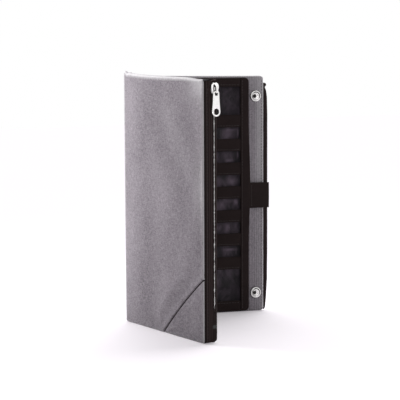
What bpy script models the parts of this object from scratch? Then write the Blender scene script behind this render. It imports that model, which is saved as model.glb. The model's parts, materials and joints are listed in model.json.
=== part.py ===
"""Travel wallet standing open like a book, built from its sewn panels, zip, snaps and card pockets.

Lengths are metres and +Z is up. The front cover lies along +X with its outer cloth to -Y, the spine is
at the -X end and the back cover stands behind it. The origin is under the middle of the wallet.

Each cover is laid out in a frame of its own: x runs from the fold line to the free edge, "depth" runs
from the middle of the outer cloth into the wallet, and z runs up.
"""

import math

import bmesh
import bpy
from mathutils import Vector

# Overall
COVER_HEIGHT = 0.225
COVER_WIDTH = 0.126
SPINE_WIDTH = 0.0205
OPENING_ANGLE = math.radians(72.0)
CORNER_RADIUS = 0.003
SEAT_GAP = 0.0003

# Cloth, board and tape thicknesses
CLOTH = 0.0012
CLOTH_ROUNDING = 0.0004
BOARD = 0.0012
LINING = 0.0005
FACING = 0.0010
TAPE = 0.0007
BOARD_MARGIN = 0.0015

# Fold lines
FOLD_BEAD_RADIUS = 0.0008
FOLD_BEAD_GAP = 0.0004
FLEX_WIDTH = 0.006
BEAD_STEPS = 10

# Corner patch of the front cover
PATCH_HEIGHT = 0.0553
PATCH_LENGTH = 0.063
PATCH_SAGITTA = 0.0018
PATCH_SEAM_GAP = 0.0006
PATCH_STEPS = 10

# Zipped pocket behind the front cover
POCKET_DEPTH = 0.0070
POCKET_WALL = 0.0008
POCKET_EDGE_RADIUS = 0.0030
POCKET_MOUTH_SETBACK = 0.001

# Slip pocket on the inner side of the front cover
SLIP_HEIGHT = 0.166
SLIP_START = 0.0095
SLIP_FROM_EDGE = 0.0165
SLIP_FOOT = 0.004
SLIP_PANEL = 0.0005
SLIP_GAP = 0.0006
SLIP_SEAM = 0.0035
SLIP_BAND_HEIGHT = 0.009
SLIP_BAND = 0.0005

# Zip chain
CHAIN_STANDOFF = 0.0025
CHAIN_CENTRE_DEPTH = 0.0090
CHAIN_WIDTH = 0.0042
CHAIN_THICKNESS = 0.0020
CHAIN_FOOT = 0.0165
CHAIN_HEAD_SETBACK = 0.0042
TOOTH_PITCH = 0.0025
TOOTH_ROOT = 0.00065
TOOTH_SHOULDER = 0.00115
TOOTH_TIP = 0.0008
TOOTH_REACH = 0.0019
COMB_SPINE = 0.0010
TAPE_FOOT = 0.0012
TAPE_TUCK = 0.0055
INNER_TAPE_REACH = 0.0150
WELT_HEIGHT = 0.0012
STOP_HEIGHT = 0.0032
STOP_OVERHANG = 0.0003
TAPE_END_HEIGHT = 0.0020

# Zip slider and its pull
SLIDER_WIDTH = 0.0080
SLIDER_LENGTH = 0.0096
SLIDER_TOP_SETBACK = 0.0030
SLIDER_PLATE = 0.0011
SLIDER_CLEARANCE = 0.0004
SLIDER_FLANGE = 0.0010
SLIDER_TAIL_WIDTH = 0.0060
SLIDER_NOSE_WIDTH = 0.0064
BACK_PLATE_WIDTH = 0.0048
BRIDGE_WIDTH = 0.0016
BRIDGE_RISE = 0.0021
BRIDGE_THICKNESS = 0.0008
PULL_THICKNESS = 0.0012
PULL_LENGTH = 0.0212
PULL_NECK_WIDTH = 0.0061
PULL_END_WIDTH = 0.0081
PULL_BAR = 0.0012
PULL_PIVOT_RISE = 0.0021
PULL_SLOT_LENGTH = 0.0026
PULL_SLOT_TOP = 0.0036
PULL_SLOT_FOOT = 0.0024
PULL_EYE_DIAMETER = 0.0055
PULL_EYE_RIM = 0.0013
PULL_ROUNDING = 0.0002

# Snap fasteners
SNAP_FROM_EDGE = 0.008
SNAP_FROM_TOP = 0.0190
SNAP_FROM_FOOT = 0.0180
SOCKET_DIAMETER = 0.0108
SOCKET_HEIGHT = 0.0022
SOCKET_BORE = 0.0044
SOCKET_BORE_DEPTH = 0.0016
STUD_FLANGE_DIAMETER = 0.0080
STUD_FLANGE = 0.0006
STUD_DIAMETER = 0.0034
STUD_REACH = 0.0030
ROUND_STEPS = 28

# Card organiser on the inner side of the back cover
ORGANISER_EDGE = 0.0155
ORGANISER_START = 0.006
ORGANISER_FOOT = 0.0015
BORDER_WIDTH = 0.0083
BORDER_FOOT_WIDTH = 0.0099
BORDER_THICKNESS = 0.0024
CARD_POCKETS = 7
FIRST_MOUTH = 0.188
MOUTH_PITCH = 0.0225
CARD_PANEL = 0.0005
CARD_PANEL_LEAN = 0.0010
CARD_OVERLAP = 0.006
BAND_HEIGHT = 0.0110
BAND = 0.0005

# Pen loop and edge piping of the back cover
PEN_LOOP_HEIGHT = 0.024
PEN_LOOP_CENTRE = 0.112
PEN_LOOP_BAND = 0.0009
PEN_LOOP_GAP = 0.0010
PEN_LOOP_PAST_EDGE = 0.0050
PEN_LOOP_ROUNDING = 0.42
PIPING_FOOT = 0.001
PIPING_TIP = 0.001
PIPING_TOP = 0.2185
PIPING_THICKNESS = 0.0032
PIPING_WIDTH = 0.0042
PIPING_FOOT_WIDTH = 0.0018
PIPING_TAPER = 0.030
PIPING_NOTCH_WIDTH = 0.0017
PIPING_NOTCH_BELOW_TOP = 0.0045
PIPING_NOTCH_LENGTH = 0.0008
PIPING_KNOB_WIDTH = 0.0030
PIPING_KNOB_SHOULDER = 0.0006
PIPING_STEPS = 12

# Depths of the layers, each counted from the middle of the outer cloth
BOARD_DEPTH = CLOTH / 2 + SEAT_GAP
OVER_BOARD = BOARD_DEPTH + BOARD + SEAT_GAP
POCKET_FACE = OVER_BOARD + LINING + POCKET_DEPTH + POCKET_WALL
OVER_FACING = OVER_BOARD + FACING + SEAT_GAP
CARD_DEPTH = OVER_FACING + LINING + SEAT_GAP

# Places that several pieces share
CHAIN_X = COVER_WIDTH + CHAIN_STANDOFF
CHAIN_HEAD = COVER_HEIGHT - CHAIN_HEAD_SETBACK
SLIDER_TOP = COVER_HEIGHT - SLIDER_TOP_SETBACK
SLIDER_FOOT = SLIDER_TOP - SLIDER_LENGTH
SLIDER_FACE_X = CHAIN_X + CHAIN_THICKNESS / 2 + SLIDER_CLEARANCE + SLIDER_PLATE
PULL_PIVOT_X = SLIDER_FACE_X + BRIDGE_RISE / 2
PULL_PIVOT_Z = SLIDER_FOOT + PULL_PIVOT_RISE
SNAP_X = COVER_WIDTH - SNAP_FROM_EDGE
SNAP_HEIGHTS = {"upper": COVER_HEIGHT - SNAP_FROM_TOP, "lower": SNAP_FROM_FOOT}
BORDER_EDGE = COVER_WIDTH - ORGANISER_EDGE
ORGANISER_TOP = COVER_HEIGHT - ORGANISER_FOOT


def clear_scene():
    for obj in list(bpy.data.objects):
        bpy.data.objects.remove(obj, do_unlink=True)


def material(name, colour, roughness, metallic=0.0):
    made = bpy.data.materials.new(name)
    made.use_nodes = True
    shader = made.node_tree.nodes["Principled BSDF"]
    shader.inputs["Base Color"].default_value = (*colour, 1.0)
    shader.inputs["Roughness"].default_value = roughness
    shader.inputs["Metallic"].default_value = metallic
    made.diffuse_color = (*colour, 1.0)
    return made


def add_empty(name, location=(0.0, 0.0, 0.0), turn=0.0, parent=None):
    empty = bpy.data.objects.new(name, None)
    empty.empty_display_size = 0.01
    empty.location = location
    empty.rotation_euler = (0.0, 0.0, turn)
    empty.parent = parent
    bpy.context.scene.collection.objects.link(empty)
    return empty


def add_object(name, mesh_data, look, parent):
    """Links a closed bmesh as an object whose faces point outwards."""
    bmesh.ops.remove_doubles(mesh_data, verts=mesh_data.verts, dist=1e-7)
    bmesh.ops.recalc_face_normals(mesh_data, faces=mesh_data.faces)
    mesh = bpy.data.meshes.new(name)
    mesh_data.to_mesh(mesh)
    mesh_data.free()
    mesh.materials.append(look)
    obj = bpy.data.objects.new(name, mesh)
    obj.parent = parent
    bpy.context.scene.collection.objects.link(obj)
    return obj


def round_edges(obj, width, segments=2, angle=math.radians(40.0)):
    bevel = obj.modifiers.new("rounded_edges", "BEVEL")
    bevel.width = width
    bevel.segments = segments
    bevel.limit_method = "ANGLE"
    bevel.angle_limit = angle
    bevel.use_clamp_overlap = True
    return obj


def shade_round(obj, angle=math.radians(35.0)):
    obj.data.shade_smooth()
    obj.data.set_sharp_from_angle(angle=angle)
    return obj


def combine(obj, other, operation):
    """Adds a Boolean with a helper that isn't part of the wallet."""
    other.hide_render = True
    other.display_type = "WIRE"
    boolean = obj.modifiers.new(operation.lower(), "BOOLEAN")
    boolean.operation = operation
    boolean.solver = "EXACT"
    boolean.object = other
    return obj


def prism(outline, plane, low, high):
    """Extrudes a closed outline square to its plane: XY along z, XZ along y, YZ along x."""
    place = {
        "XY": lambda p, t: (p[0], p[1], t),
        "XZ": lambda p, t: (p[0], t, p[1]),
        "YZ": lambda p, t: (t, p[0], p[1]),
    }[plane]
    shape = bmesh.new()
    face = shape.faces.new([shape.verts.new(place(p, low)) for p in outline])
    grown = bmesh.ops.extrude_face_region(shape, geom=[face])
    moved = [v for v in grown["geom"] if isinstance(v, bmesh.types.BMVert)]
    travel = Vector(place((0.0, 0.0), high - low))
    bmesh.ops.translate(shape, vec=travel, verts=moved)
    return shape


def arc(centre, radius, start, end, steps):
    """Points along an arc, both ends included, angles in radians."""
    return [
        (
            centre[0] + radius * math.cos(start + (end - start) * i / steps),
            centre[1] + radius * math.sin(start + (end - start) * i / steps),
        )
        for i in range(steps + 1)
    ]


def rounded_rectangle(left, right, foot, top, radii, steps=4):
    """Outline of a rectangle; radii are for the foot-left, foot-right, top-right and top-left corners."""
    corners = [(left, foot, 1, 1), (right, foot, -1, 1), (right, top, -1, -1), (left, top, 1, -1)]
    points = []
    for i, (x, z, sx, sz) in enumerate(corners):
        radius = radii[i]
        if radius <= 0.0:
            points.append((x, z))
            continue
        start = math.pi + i * math.pi / 2
        centre = (x + sx * radius, z + sz * radius)
        points += arc(centre, radius, start, start + math.pi / 2, steps)
    return points


def strip_outline(path, thickness):
    """Closed outline of a sheet seen edge on, its middle following an open path with mitred bends."""
    points = [Vector(p) for p in path]
    sides = ([], [])
    for i, point in enumerate(points):
        before = (point - points[i - 1]).normalized() if i else None
        after = (points[i + 1] - point).normalized() if i + 1 < len(points) else None
        if before is None or after is None:
            along = after or before
            normal = Vector((-along.y, along.x))
            reach = thickness / 2
        else:
            along = (before + after).normalized()
            normal = Vector((-along.y, along.x))
            reach = thickness / 2 / along.dot(before)
        sides[0].append(tuple(point + normal * reach))
        sides[1].append(tuple(point - normal * reach))
    return sides[0] + sides[1][::-1]


def turned(profile, steps=ROUND_STEPS):
    """Turns a profile of (radius, height) points about the height axis, which is local y here."""
    shape = bmesh.new()
    verts = [shape.verts.new((r, h, 0.0)) for r, h in profile]
    edges = [shape.edges.new(pair) for pair in zip(verts, verts[1:])]
    bmesh.ops.spin(
        shape,
        geom=verts + edges,
        cent=(0.0, 0.0, 0.0),
        axis=(0.0, 1.0, 0.0),
        angle=2 * math.pi,
        steps=steps,
        use_merge=True,
    )
    return shape


def panel(name, outline, depth, thickness, side, look, parent, rounding=0.0):
    """A flat layer of a cover: an outline in x and z, between two depths."""
    near, far = sorted((side * depth, side * (depth + thickness)))
    obj = add_object(name, prism(outline, "XZ", near, far), look, parent)
    if rounding:
        round_edges(obj, rounding)
    return obj


def seam_circle():
    """Centre and radius of the arc of the corner patch's seam."""
    foot = Vector((COVER_WIDTH - PATCH_LENGTH, 0.0))
    head = Vector((COVER_WIDTH, PATCH_HEIGHT))
    chord = head - foot
    radius = (chord.length_squared / 4 + PATCH_SAGITTA**2) / (2 * PATCH_SAGITTA)
    outward = Vector((-chord.y, chord.x)).normalized()
    return (foot + head) / 2 - outward * (radius - PATCH_SAGITTA), radius


def seam_points(offset):
    """The seam from the bottom edge to the free edge, moved away from the corner by offset."""
    centre, radius = seam_circle()
    radius += offset
    start = math.pi - math.asin((0.0 - centre.y) / radius)
    end = math.acos((COVER_WIDTH - centre.x) / radius)
    return arc(centre, radius, start, end, PATCH_STEPS)


def front_cloth_outline():
    start = FOLD_BEAD_RADIUS + FOLD_BEAD_GAP
    corner = (COVER_WIDTH - CORNER_RADIUS, COVER_HEIGHT - CORNER_RADIUS)
    return (
        [(start, 0.0)]
        + seam_points(PATCH_SEAM_GAP / 2)
        + arc(corner, CORNER_RADIUS, 0.0, math.pi / 2, 5)
        + [(start, COVER_HEIGHT)]
    )


def corner_patch_outline():
    corner = (COVER_WIDTH - CORNER_RADIUS, CORNER_RADIUS)
    return seam_points(-PATCH_SEAM_GAP / 2) + arc(corner, CORNER_RADIUS, 0.0, -math.pi / 2, 5)


def build_front_panels(parent, grey, board, lining):
    panel("front_outer_panel", front_cloth_outline(), -CLOTH / 2, CLOTH, 1, grey, parent, CLOTH_ROUNDING)
    panel("front_corner_patch", corner_patch_outline(), -CLOTH / 2, CLOTH, 1, grey, parent, CLOTH_ROUNDING)
    inside = (
        FLEX_WIDTH + POCKET_WALL + BOARD_MARGIN,
        COVER_WIDTH - TAPE_TUCK - BOARD_MARGIN,
        POCKET_WALL + SEAT_GAP,
        COVER_HEIGHT - POCKET_WALL - SEAT_GAP,
    )
    outline = rounded_rectangle(*inside, [CORNER_RADIUS] * 4)
    panel("front_board", outline, BOARD_DEPTH, BOARD, 1, board, parent)
    panel("front_pocket_lining", outline, OVER_BOARD, LINING, 1, lining, parent)


def pocket_block(wall, beyond):
    """Block with rounded far edges, for the outside (wall 0) and the hollow of the pocket shell."""
    left = FLEX_WIDTH + wall
    right = COVER_WIDTH - POCKET_MOUTH_SETBACK + beyond
    outline = rounded_rectangle(left, right, wall, COVER_HEIGHT - wall, [0.0] * 4)
    far = POCKET_FACE - wall
    shape = prism(outline, "XZ", BOARD_DEPTH - beyond, far)
    rounded = [
        edge
        for edge in shape.edges
        if all(abs(v.co.y - far) < 1e-6 for v in edge.verts)
        and not all(abs(v.co.x - right) < 1e-6 for v in edge.verts)
    ]
    upright = [
        edge
        for edge in shape.edges
        if all(abs(v.co.x - left) < 1e-6 for v in edge.verts)
        and abs(edge.verts[0].co.z - edge.verts[1].co.z) < 1e-6
    ]
    bmesh.ops.bevel(
        shape,
        geom=rounded + upright,
        offset=POCKET_EDGE_RADIUS - wall,
        segments=4,
        profile=0.5,
        affect="EDGES",
    )
    return shape


def build_pocket_shell(parent, lining):
    shell = add_object("front_pocket_shell", pocket_block(0.0, 0.0), lining, parent)
    hollow = add_object("pocket_hollow", pocket_block(POCKET_WALL, POCKET_DEPTH), lining, parent)
    combine(shell, hollow, "DIFFERENCE")
    return shade_round(shell)


def build_slip_pocket(parent, lining, tape):
    right = COVER_WIDTH - SLIP_FROM_EDGE
    top = SLIP_FOOT + SLIP_HEIGHT
    depth = POCKET_FACE + SEAT_GAP
    outline = rounded_rectangle(SLIP_START, right, SLIP_FOOT, top, [CORNER_RADIUS, CORNER_RADIUS, 0.0, 0.0])
    pocket = panel("slip_pocket", outline, depth, SLIP_GAP + SLIP_PANEL, 1, lining, parent)
    hollow_outline = rounded_rectangle(
        SLIP_START + SLIP_SEAM, right - SLIP_SEAM, SLIP_FOOT + SLIP_SEAM, top + SLIP_SEAM, [0.0] * 4
    )
    hollow = add_object(
        "slip_hollow", prism(hollow_outline, "XZ", depth - SLIP_GAP, depth + SLIP_GAP), lining, parent
    )
    combine(pocket, hollow, "DIFFERENCE")
    band_depth = depth + SLIP_GAP + SLIP_PANEL + SEAT_GAP
    band = rounded_rectangle(SLIP_START, right, top - SLIP_BAND_HEIGHT, top, [0.0] * 4)
    panel("slip_pocket_band", band, band_depth, SLIP_BAND, 1, tape, parent)


def outer_tape_path():
    """Seen from above: from under the cloth, round the edge and along the wall to the chain."""
    tucked = BOARD_DEPTH + TAPE / 2
    chain_side = CHAIN_CENTRE_DEPTH - CHAIN_WIDTH / 2 - SEAT_GAP
    return [
        (COVER_WIDTH - TAPE_TUCK, tucked),
        (COVER_WIDTH - TAPE / 2, tucked),
        (COVER_WIDTH + 0.45 * CHAIN_STANDOFF, tucked + 0.15 * (chain_side - tucked)),
        (COVER_WIDTH + 0.85 * CHAIN_STANDOFF, tucked + 0.5 * (chain_side - tucked)),
        (CHAIN_X, chain_side),
    ]


def inner_tape_path():
    """Seen from above: from the chain over a low welt and back along the pocket's inner face."""
    flat = POCKET_FACE + SEAT_GAP + TAPE / 2
    start = CHAIN_CENTRE_DEPTH + CHAIN_WIDTH / 2 + SEAT_GAP
    crown = flat + WELT_HEIGHT
    return [
        (CHAIN_X, start + TAPE / 2),
        (COVER_WIDTH + 0.5 * CHAIN_STANDOFF, start + 0.8 * (crown - start)),
        (COVER_WIDTH, crown),
        (COVER_WIDTH - WELT_HEIGHT, crown),
        (COVER_WIDTH - 2.6 * WELT_HEIGHT, flat),
        (COVER_WIDTH - INNER_TAPE_REACH, flat),
    ]


def comb_outline(root_depth, direction, first, count):
    """Depth and height points of one row of zip teeth on its cord."""
    back = root_depth - direction * COMB_SPINE
    points = [(back, CHAIN_HEAD), (back, CHAIN_FOOT), (root_depth, CHAIN_FOOT)]
    for i in range(count):
        middle = first + i * TOOTH_PITCH
        reaches = (
            (0.0, -TOOTH_ROOT),
            (0.6 * TOOTH_REACH, -TOOTH_SHOULDER),
            (TOOTH_REACH, -TOOTH_TIP),
            (TOOTH_REACH, TOOTH_TIP),
            (0.6 * TOOTH_REACH, TOOTH_SHOULDER),
            (0.0, TOOTH_ROOT),
        )
        points += [(root_depth + direction * out, middle + width / 2) for out, width in reaches]
    return points + [(root_depth, CHAIN_HEAD)]


def build_chain(parent, metal):
    count = int((CHAIN_HEAD - CHAIN_FOOT) / TOOTH_PITCH - 0.5)
    near_x = CHAIN_X - CHAIN_THICKNESS / 2
    far_x = CHAIN_X + CHAIN_THICKNESS / 2
    rows = {
        "zip_teeth_outer": (CHAIN_CENTRE_DEPTH - CHAIN_WIDTH / 2 + COMB_SPINE, 1, 0.5),
        "zip_teeth_inner": (CHAIN_CENTRE_DEPTH + CHAIN_WIDTH / 2 - COMB_SPINE, -1, 1.0),
    }
    for name, (root, direction, shift) in rows.items():
        outline = comb_outline(root, direction, CHAIN_FOOT + shift * TOOTH_PITCH, count)
        add_object(name, prism(outline, "YZ", near_x, far_x), metal, parent)


def build_zip_tape(parent, tape, metal):
    foot, top = TAPE_FOOT, COVER_HEIGHT - TAPE_FOOT
    for name, path in (("zip_tape_outer", outer_tape_path()), ("zip_tape_inner", inner_tape_path())):
        section = strip_outline(path, TAPE)
        add_object(name, prism(section, "XY", foot, top), tape, parent)
    chain_near = CHAIN_CENTRE_DEPTH - CHAIN_WIDTH / 2
    chain_far = CHAIN_CENTRE_DEPTH + CHAIN_WIDTH / 2
    stop_top = CHAIN_FOOT - SEAT_GAP
    stop_foot = stop_top - STOP_HEIGHT
    half = CHAIN_THICKNESS / 2 + STOP_OVERHANG
    stop = rounded_rectangle(chain_near, chain_far, stop_foot, stop_top, [CLOTH_ROUNDING] * 4)
    round_edges(
        add_object("zip_bottom_stop", prism(stop, "YZ", CHAIN_X - half, CHAIN_X + half), metal, parent),
        CLOTH_ROUNDING,
    )
    closure = rounded_rectangle(chain_near, chain_far, foot, stop_foot - SEAT_GAP, [0.0] * 4)
    add_object(
        "zip_foot_closure", prism(closure, "YZ", CHAIN_X - TAPE / 2, CHAIN_X + TAPE / 2), tape, parent
    )
    knob_foot = SLIDER_TOP + SEAT_GAP
    knob = rounded_rectangle(
        chain_near, chain_far, knob_foot, knob_foot + TAPE_END_HEIGHT, [CHAIN_THICKNESS / 3] * 4
    )
    round_edges(
        add_object("zip_tape_end", prism(knob, "YZ", CHAIN_X - half, CHAIN_X + half), tape, parent),
        CLOTH_ROUNDING,
    )


def slider_shield():
    """Front view of the slider: a nose, broad shoulders and a narrower tail."""
    half_nose, half_wide, half_tail = SLIDER_NOSE_WIDTH / 2, SLIDER_WIDTH / 2, SLIDER_TAIL_WIDTH / 2
    right = [
        (0.0, half_tail * 0.8),
        (0.06, half_tail),
        (0.38, half_tail + 0.45 * (half_wide - half_tail)),
        (0.52, half_wide * 0.99),
        (0.66, half_wide),
        (0.82, half_wide * 0.96),
        (0.94, half_nose + 0.3 * (half_wide - half_nose)),
        (1.0, half_nose * 0.8),
    ]
    height = [SLIDER_FOOT + share * SLIDER_LENGTH for share, _ in right]
    return [(CHAIN_CENTRE_DEPTH + w, z) for (_, w), z in zip(right, height)] + [
        (CHAIN_CENTRE_DEPTH - w, z) for (_, w), z in reversed(list(zip(right, height)))
    ]


def slider_channel():
    """Seen from above: the front plate with a flange down each side of the chain."""
    plate_x = SLIDER_FACE_X - SLIDER_PLATE
    inner = CHAIN_WIDTH / 2 + SLIDER_CLEARANCE
    flange_x = CHAIN_X + TAPE / 2 + SLIDER_CLEARANCE
    outer = inner + SLIDER_FLANGE
    edge = SLIDER_WIDTH / 2 + SEAT_GAP
    centre = CHAIN_CENTRE_DEPTH
    return [
        (SLIDER_FACE_X, centre - edge),
        (SLIDER_FACE_X, centre + edge),
        (plate_x, centre + edge),
        (plate_x, centre + outer),
        (flange_x, centre + outer),
        (flange_x, centre + inner),
        (plate_x, centre + inner),
        (plate_x, centre - inner),
        (flange_x, centre - inner),
        (flange_x, centre - outer),
        (plate_x, centre - outer),
        (plate_x, centre - edge),
    ]


def bridge_outline():
    """Side view of the bridge, in x and z: two legs and a strap that the pull's bar turns under."""
    sunk = SLIDER_FACE_X - SLIDER_PLATE / 2
    under = SLIDER_FACE_X + BRIDGE_RISE
    over = under + BRIDGE_THICKNESS
    foot = SLIDER_FOOT
    top = SLIDER_TOP - BRIDGE_THICKNESS
    corner = BRIDGE_THICKNESS
    return [
        (sunk, foot),
        (over - corner, foot),
        (over, foot + corner),
        (over, top - 2 * corner),
        (sunk, top + corner / 2),
        (sunk, top - corner),
        (SLIDER_FACE_X, top - corner),
        (under, top - 3 * corner),
        (under, foot + corner),
        (sunk, foot + corner),
    ]


def build_slider(parent, metal):
    channel = prism(slider_channel(), "XY", SLIDER_FOOT - SLIDER_PLATE, SLIDER_TOP + SLIDER_PLATE)
    body = add_object("slider_body", channel, metal, parent)
    shield = prism(slider_shield(), "YZ", CHAIN_X, SLIDER_FACE_X + SLIDER_PLATE)
    combine(body, add_object("slider_shield", shield, metal, parent), "INTERSECT")
    half = BRIDGE_WIDTH / 2
    strap = prism(bridge_outline(), "XZ", CHAIN_CENTRE_DEPTH - half, CHAIN_CENTRE_DEPTH + half)
    combine(body, add_object("slider_strap", strap, metal, parent), "UNION")
    plate_x = CHAIN_X - CHAIN_THICKNESS / 2 - SLIDER_CLEARANCE
    back = rounded_rectangle(
        CHAIN_CENTRE_DEPTH - BACK_PLATE_WIDTH / 2,
        CHAIN_CENTRE_DEPTH + BACK_PLATE_WIDTH / 2,
        SLIDER_FOOT,
        SLIDER_TOP,
        [BRIDGE_THICKNESS] * 4,
    )
    add_object("slider_back_plate", prism(back, "YZ", plate_x - SLIDER_PLATE, plate_x), metal, parent)


def pull_outline():
    """Front view of the pull about its pivot: a narrow neck and a broader round end."""
    neck, end = PULL_NECK_WIDTH / 2, PULL_END_WIDTH / 2
    foot = PULL_BAR / 2 - PULL_LENGTH
    centre = (0.0, foot + end)
    top = PULL_BAR / 2
    right = [(0.55 * neck, top), (0.85 * neck, 0.0), (0.95 * neck, -1.5 * PULL_BAR), (neck, -3 * PULL_BAR)]
    return right[::-1] + [(-w, z) for w, z in right] + arc(centre, end, math.pi, 2 * math.pi, 14)


def build_pull(parent, metal):
    half = PULL_THICKNESS / 2
    pull = add_object("pull_tab", prism(pull_outline(), "YZ", -half, half), metal, parent)
    top = -PULL_BAR / 2
    foot = top - PULL_SLOT_LENGTH
    slot = [
        (-PULL_SLOT_TOP / 2, top),
        (PULL_SLOT_TOP / 2, top),
        (PULL_SLOT_FOOT / 2, foot),
        (-PULL_SLOT_FOOT / 2, foot),
    ]
    slot_cutter = add_object("pull_slot", prism(slot, "YZ", -2 * half, 2 * half), metal, parent)
    combine(pull, slot_cutter, "DIFFERENCE")
    eye_height = PULL_BAR / 2 - PULL_LENGTH + PULL_EYE_RIM + PULL_EYE_DIAMETER / 2
    eye = arc((0.0, eye_height), PULL_EYE_DIAMETER / 2, 0.0, 2 * math.pi, 24)[:-1]
    eye_cutter = add_object("pull_eye", prism(eye, "YZ", -2 * half, 2 * half), metal, parent)
    combine(pull, eye_cutter, "DIFFERENCE")
    round_edges(pull, PULL_ROUNDING, 1)
    return pull


def stud_profile():
    radius, half = STUD_FLANGE_DIAMETER / 2, STUD_DIAMETER / 2
    top = STUD_FLANGE + STUD_REACH
    return [
        (0.0, 0.0),
        (radius, 0.0),
        (radius, 0.5 * STUD_FLANGE),
        (0.85 * radius, STUD_FLANGE),
        (1.25 * half, STUD_FLANGE),
        (0.85 * half, STUD_FLANGE + 0.3 * STUD_REACH),
        (half, STUD_FLANGE + 0.7 * STUD_REACH),
        (0.75 * half, top),
        (0.0, top),
    ]


def socket_profile():
    radius, bore = SOCKET_DIAMETER / 2, SOCKET_BORE / 2
    floor = SOCKET_HEIGHT - SOCKET_BORE_DEPTH
    return [
        (0.0, 0.0),
        (radius, 0.0),
        (radius, 0.3 * SOCKET_HEIGHT),
        (0.93 * radius, 0.62 * SOCKET_HEIGHT),
        (0.78 * radius, 0.70 * SOCKET_HEIGHT),
        (0.70 * radius, 0.66 * SOCKET_HEIGHT),
        (0.62 * radius, 0.92 * SOCKET_HEIGHT),
        (1.15 * bore, SOCKET_HEIGHT),
        (bore, 0.92 * SOCKET_HEIGHT),
        (bore, floor),
        (0.0, floor),
    ]


def build_snaps(front, back, metal):
    stud_depth = POCKET_FACE + SEAT_GAP + TAPE + SEAT_GAP
    for place, height in SNAP_HEIGHTS.items():
        stud = add_object(f"snap_stud_{place}", turned(stud_profile()), metal, front)
        stud.location = (SNAP_X, stud_depth, height)
        shade_round(stud)
        socket = add_object(f"snap_socket_{place}", turned(socket_profile()), metal, back)
        socket.location = (SNAP_X, -OVER_FACING, height)
        socket.rotation_euler = (math.pi, 0.0, 0.0)
        shade_round(socket)


def build_spine(parent, grey, board, lining):
    """The spine runs along its own x between the two fold lines."""
    join = math.asin(CLOTH / 2 / FOLD_BEAD_RADIUS)
    near = arc((0.0, 0.0), FOLD_BEAD_RADIUS, join, 2 * math.pi - join, BEAD_STEPS)
    far = arc((SPINE_WIDTH, 0.0), FOLD_BEAD_RADIUS, join - math.pi, math.pi - join, BEAD_STEPS)
    cloth = add_object("spine_outer_panel", prism(near + far, "XY", 0.0, COVER_HEIGHT), grey, parent)
    shade_round(cloth)
    inset = FOLD_BEAD_RADIUS + FOLD_BEAD_GAP + BOARD_MARGIN
    outline = rounded_rectangle(
        inset, SPINE_WIDTH - inset, BOARD_MARGIN, COVER_HEIGHT - BOARD_MARGIN, [0.0] * 4
    )
    panel("spine_board", outline, BOARD_DEPTH, BOARD, -1, board, parent)
    panel("spine_lining", outline, OVER_BOARD, LINING, -1, lining, parent)


def build_back_panels(parent, grey, board, lining):
    start = FOLD_BEAD_RADIUS + FOLD_BEAD_GAP
    corners = [0.0, CORNER_RADIUS, CORNER_RADIUS, 0.0]
    cloth = rounded_rectangle(start, COVER_WIDTH, 0.0, COVER_HEIGHT, corners)
    panel("back_outer_panel", cloth, -CLOTH / 2, CLOTH, -1, grey, parent, CLOTH_ROUNDING)
    inside = (FLEX_WIDTH, COVER_WIDTH - BOARD_MARGIN, BOARD_MARGIN, COVER_HEIGHT - BOARD_MARGIN)
    stiffener = rounded_rectangle(*inside, [CORNER_RADIUS] * 4)
    panel("back_board", stiffener, BOARD_DEPTH, BOARD, -1, board, parent)
    facing = rounded_rectangle(FLEX_WIDTH, COVER_WIDTH, 0.0, COVER_HEIGHT, corners)
    panel("back_inner_facing", facing, OVER_BOARD, FACING, -1, grey, parent, CLOTH_ROUNDING / 2)
    backing = rounded_rectangle(
        ORGANISER_START, BORDER_EDGE, ORGANISER_FOOT, ORGANISER_TOP, [0.0] * 4
    )
    panel("organiser_backing", backing, OVER_FACING, LINING, -1, lining, parent)


def build_border(parent, tape):
    """Four bindings round the card pockets: the upright ones run the full height."""
    strips = {
        "organiser_border_free": (BORDER_EDGE - BORDER_WIDTH, BORDER_EDGE, ORGANISER_FOOT, ORGANISER_TOP),
        "organiser_border_fold": (
            ORGANISER_START,
            ORGANISER_START + BORDER_WIDTH,
            ORGANISER_FOOT,
            ORGANISER_TOP,
        ),
    }
    left = ORGANISER_START + BORDER_WIDTH + SEAT_GAP
    right = BORDER_EDGE - BORDER_WIDTH - SEAT_GAP
    strips["organiser_border_top"] = (left, right, ORGANISER_TOP - BORDER_WIDTH, ORGANISER_TOP)
    strips["organiser_border_foot"] = (left, right, ORGANISER_FOOT, ORGANISER_FOOT + BORDER_FOOT_WIDTH)
    for name, bounds in strips.items():
        outline = rounded_rectangle(*bounds, [0.0] * 4)
        panel(name, outline, CARD_DEPTH, BORDER_THICKNESS, -1, tape, parent, CLOTH_ROUNDING)


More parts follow.
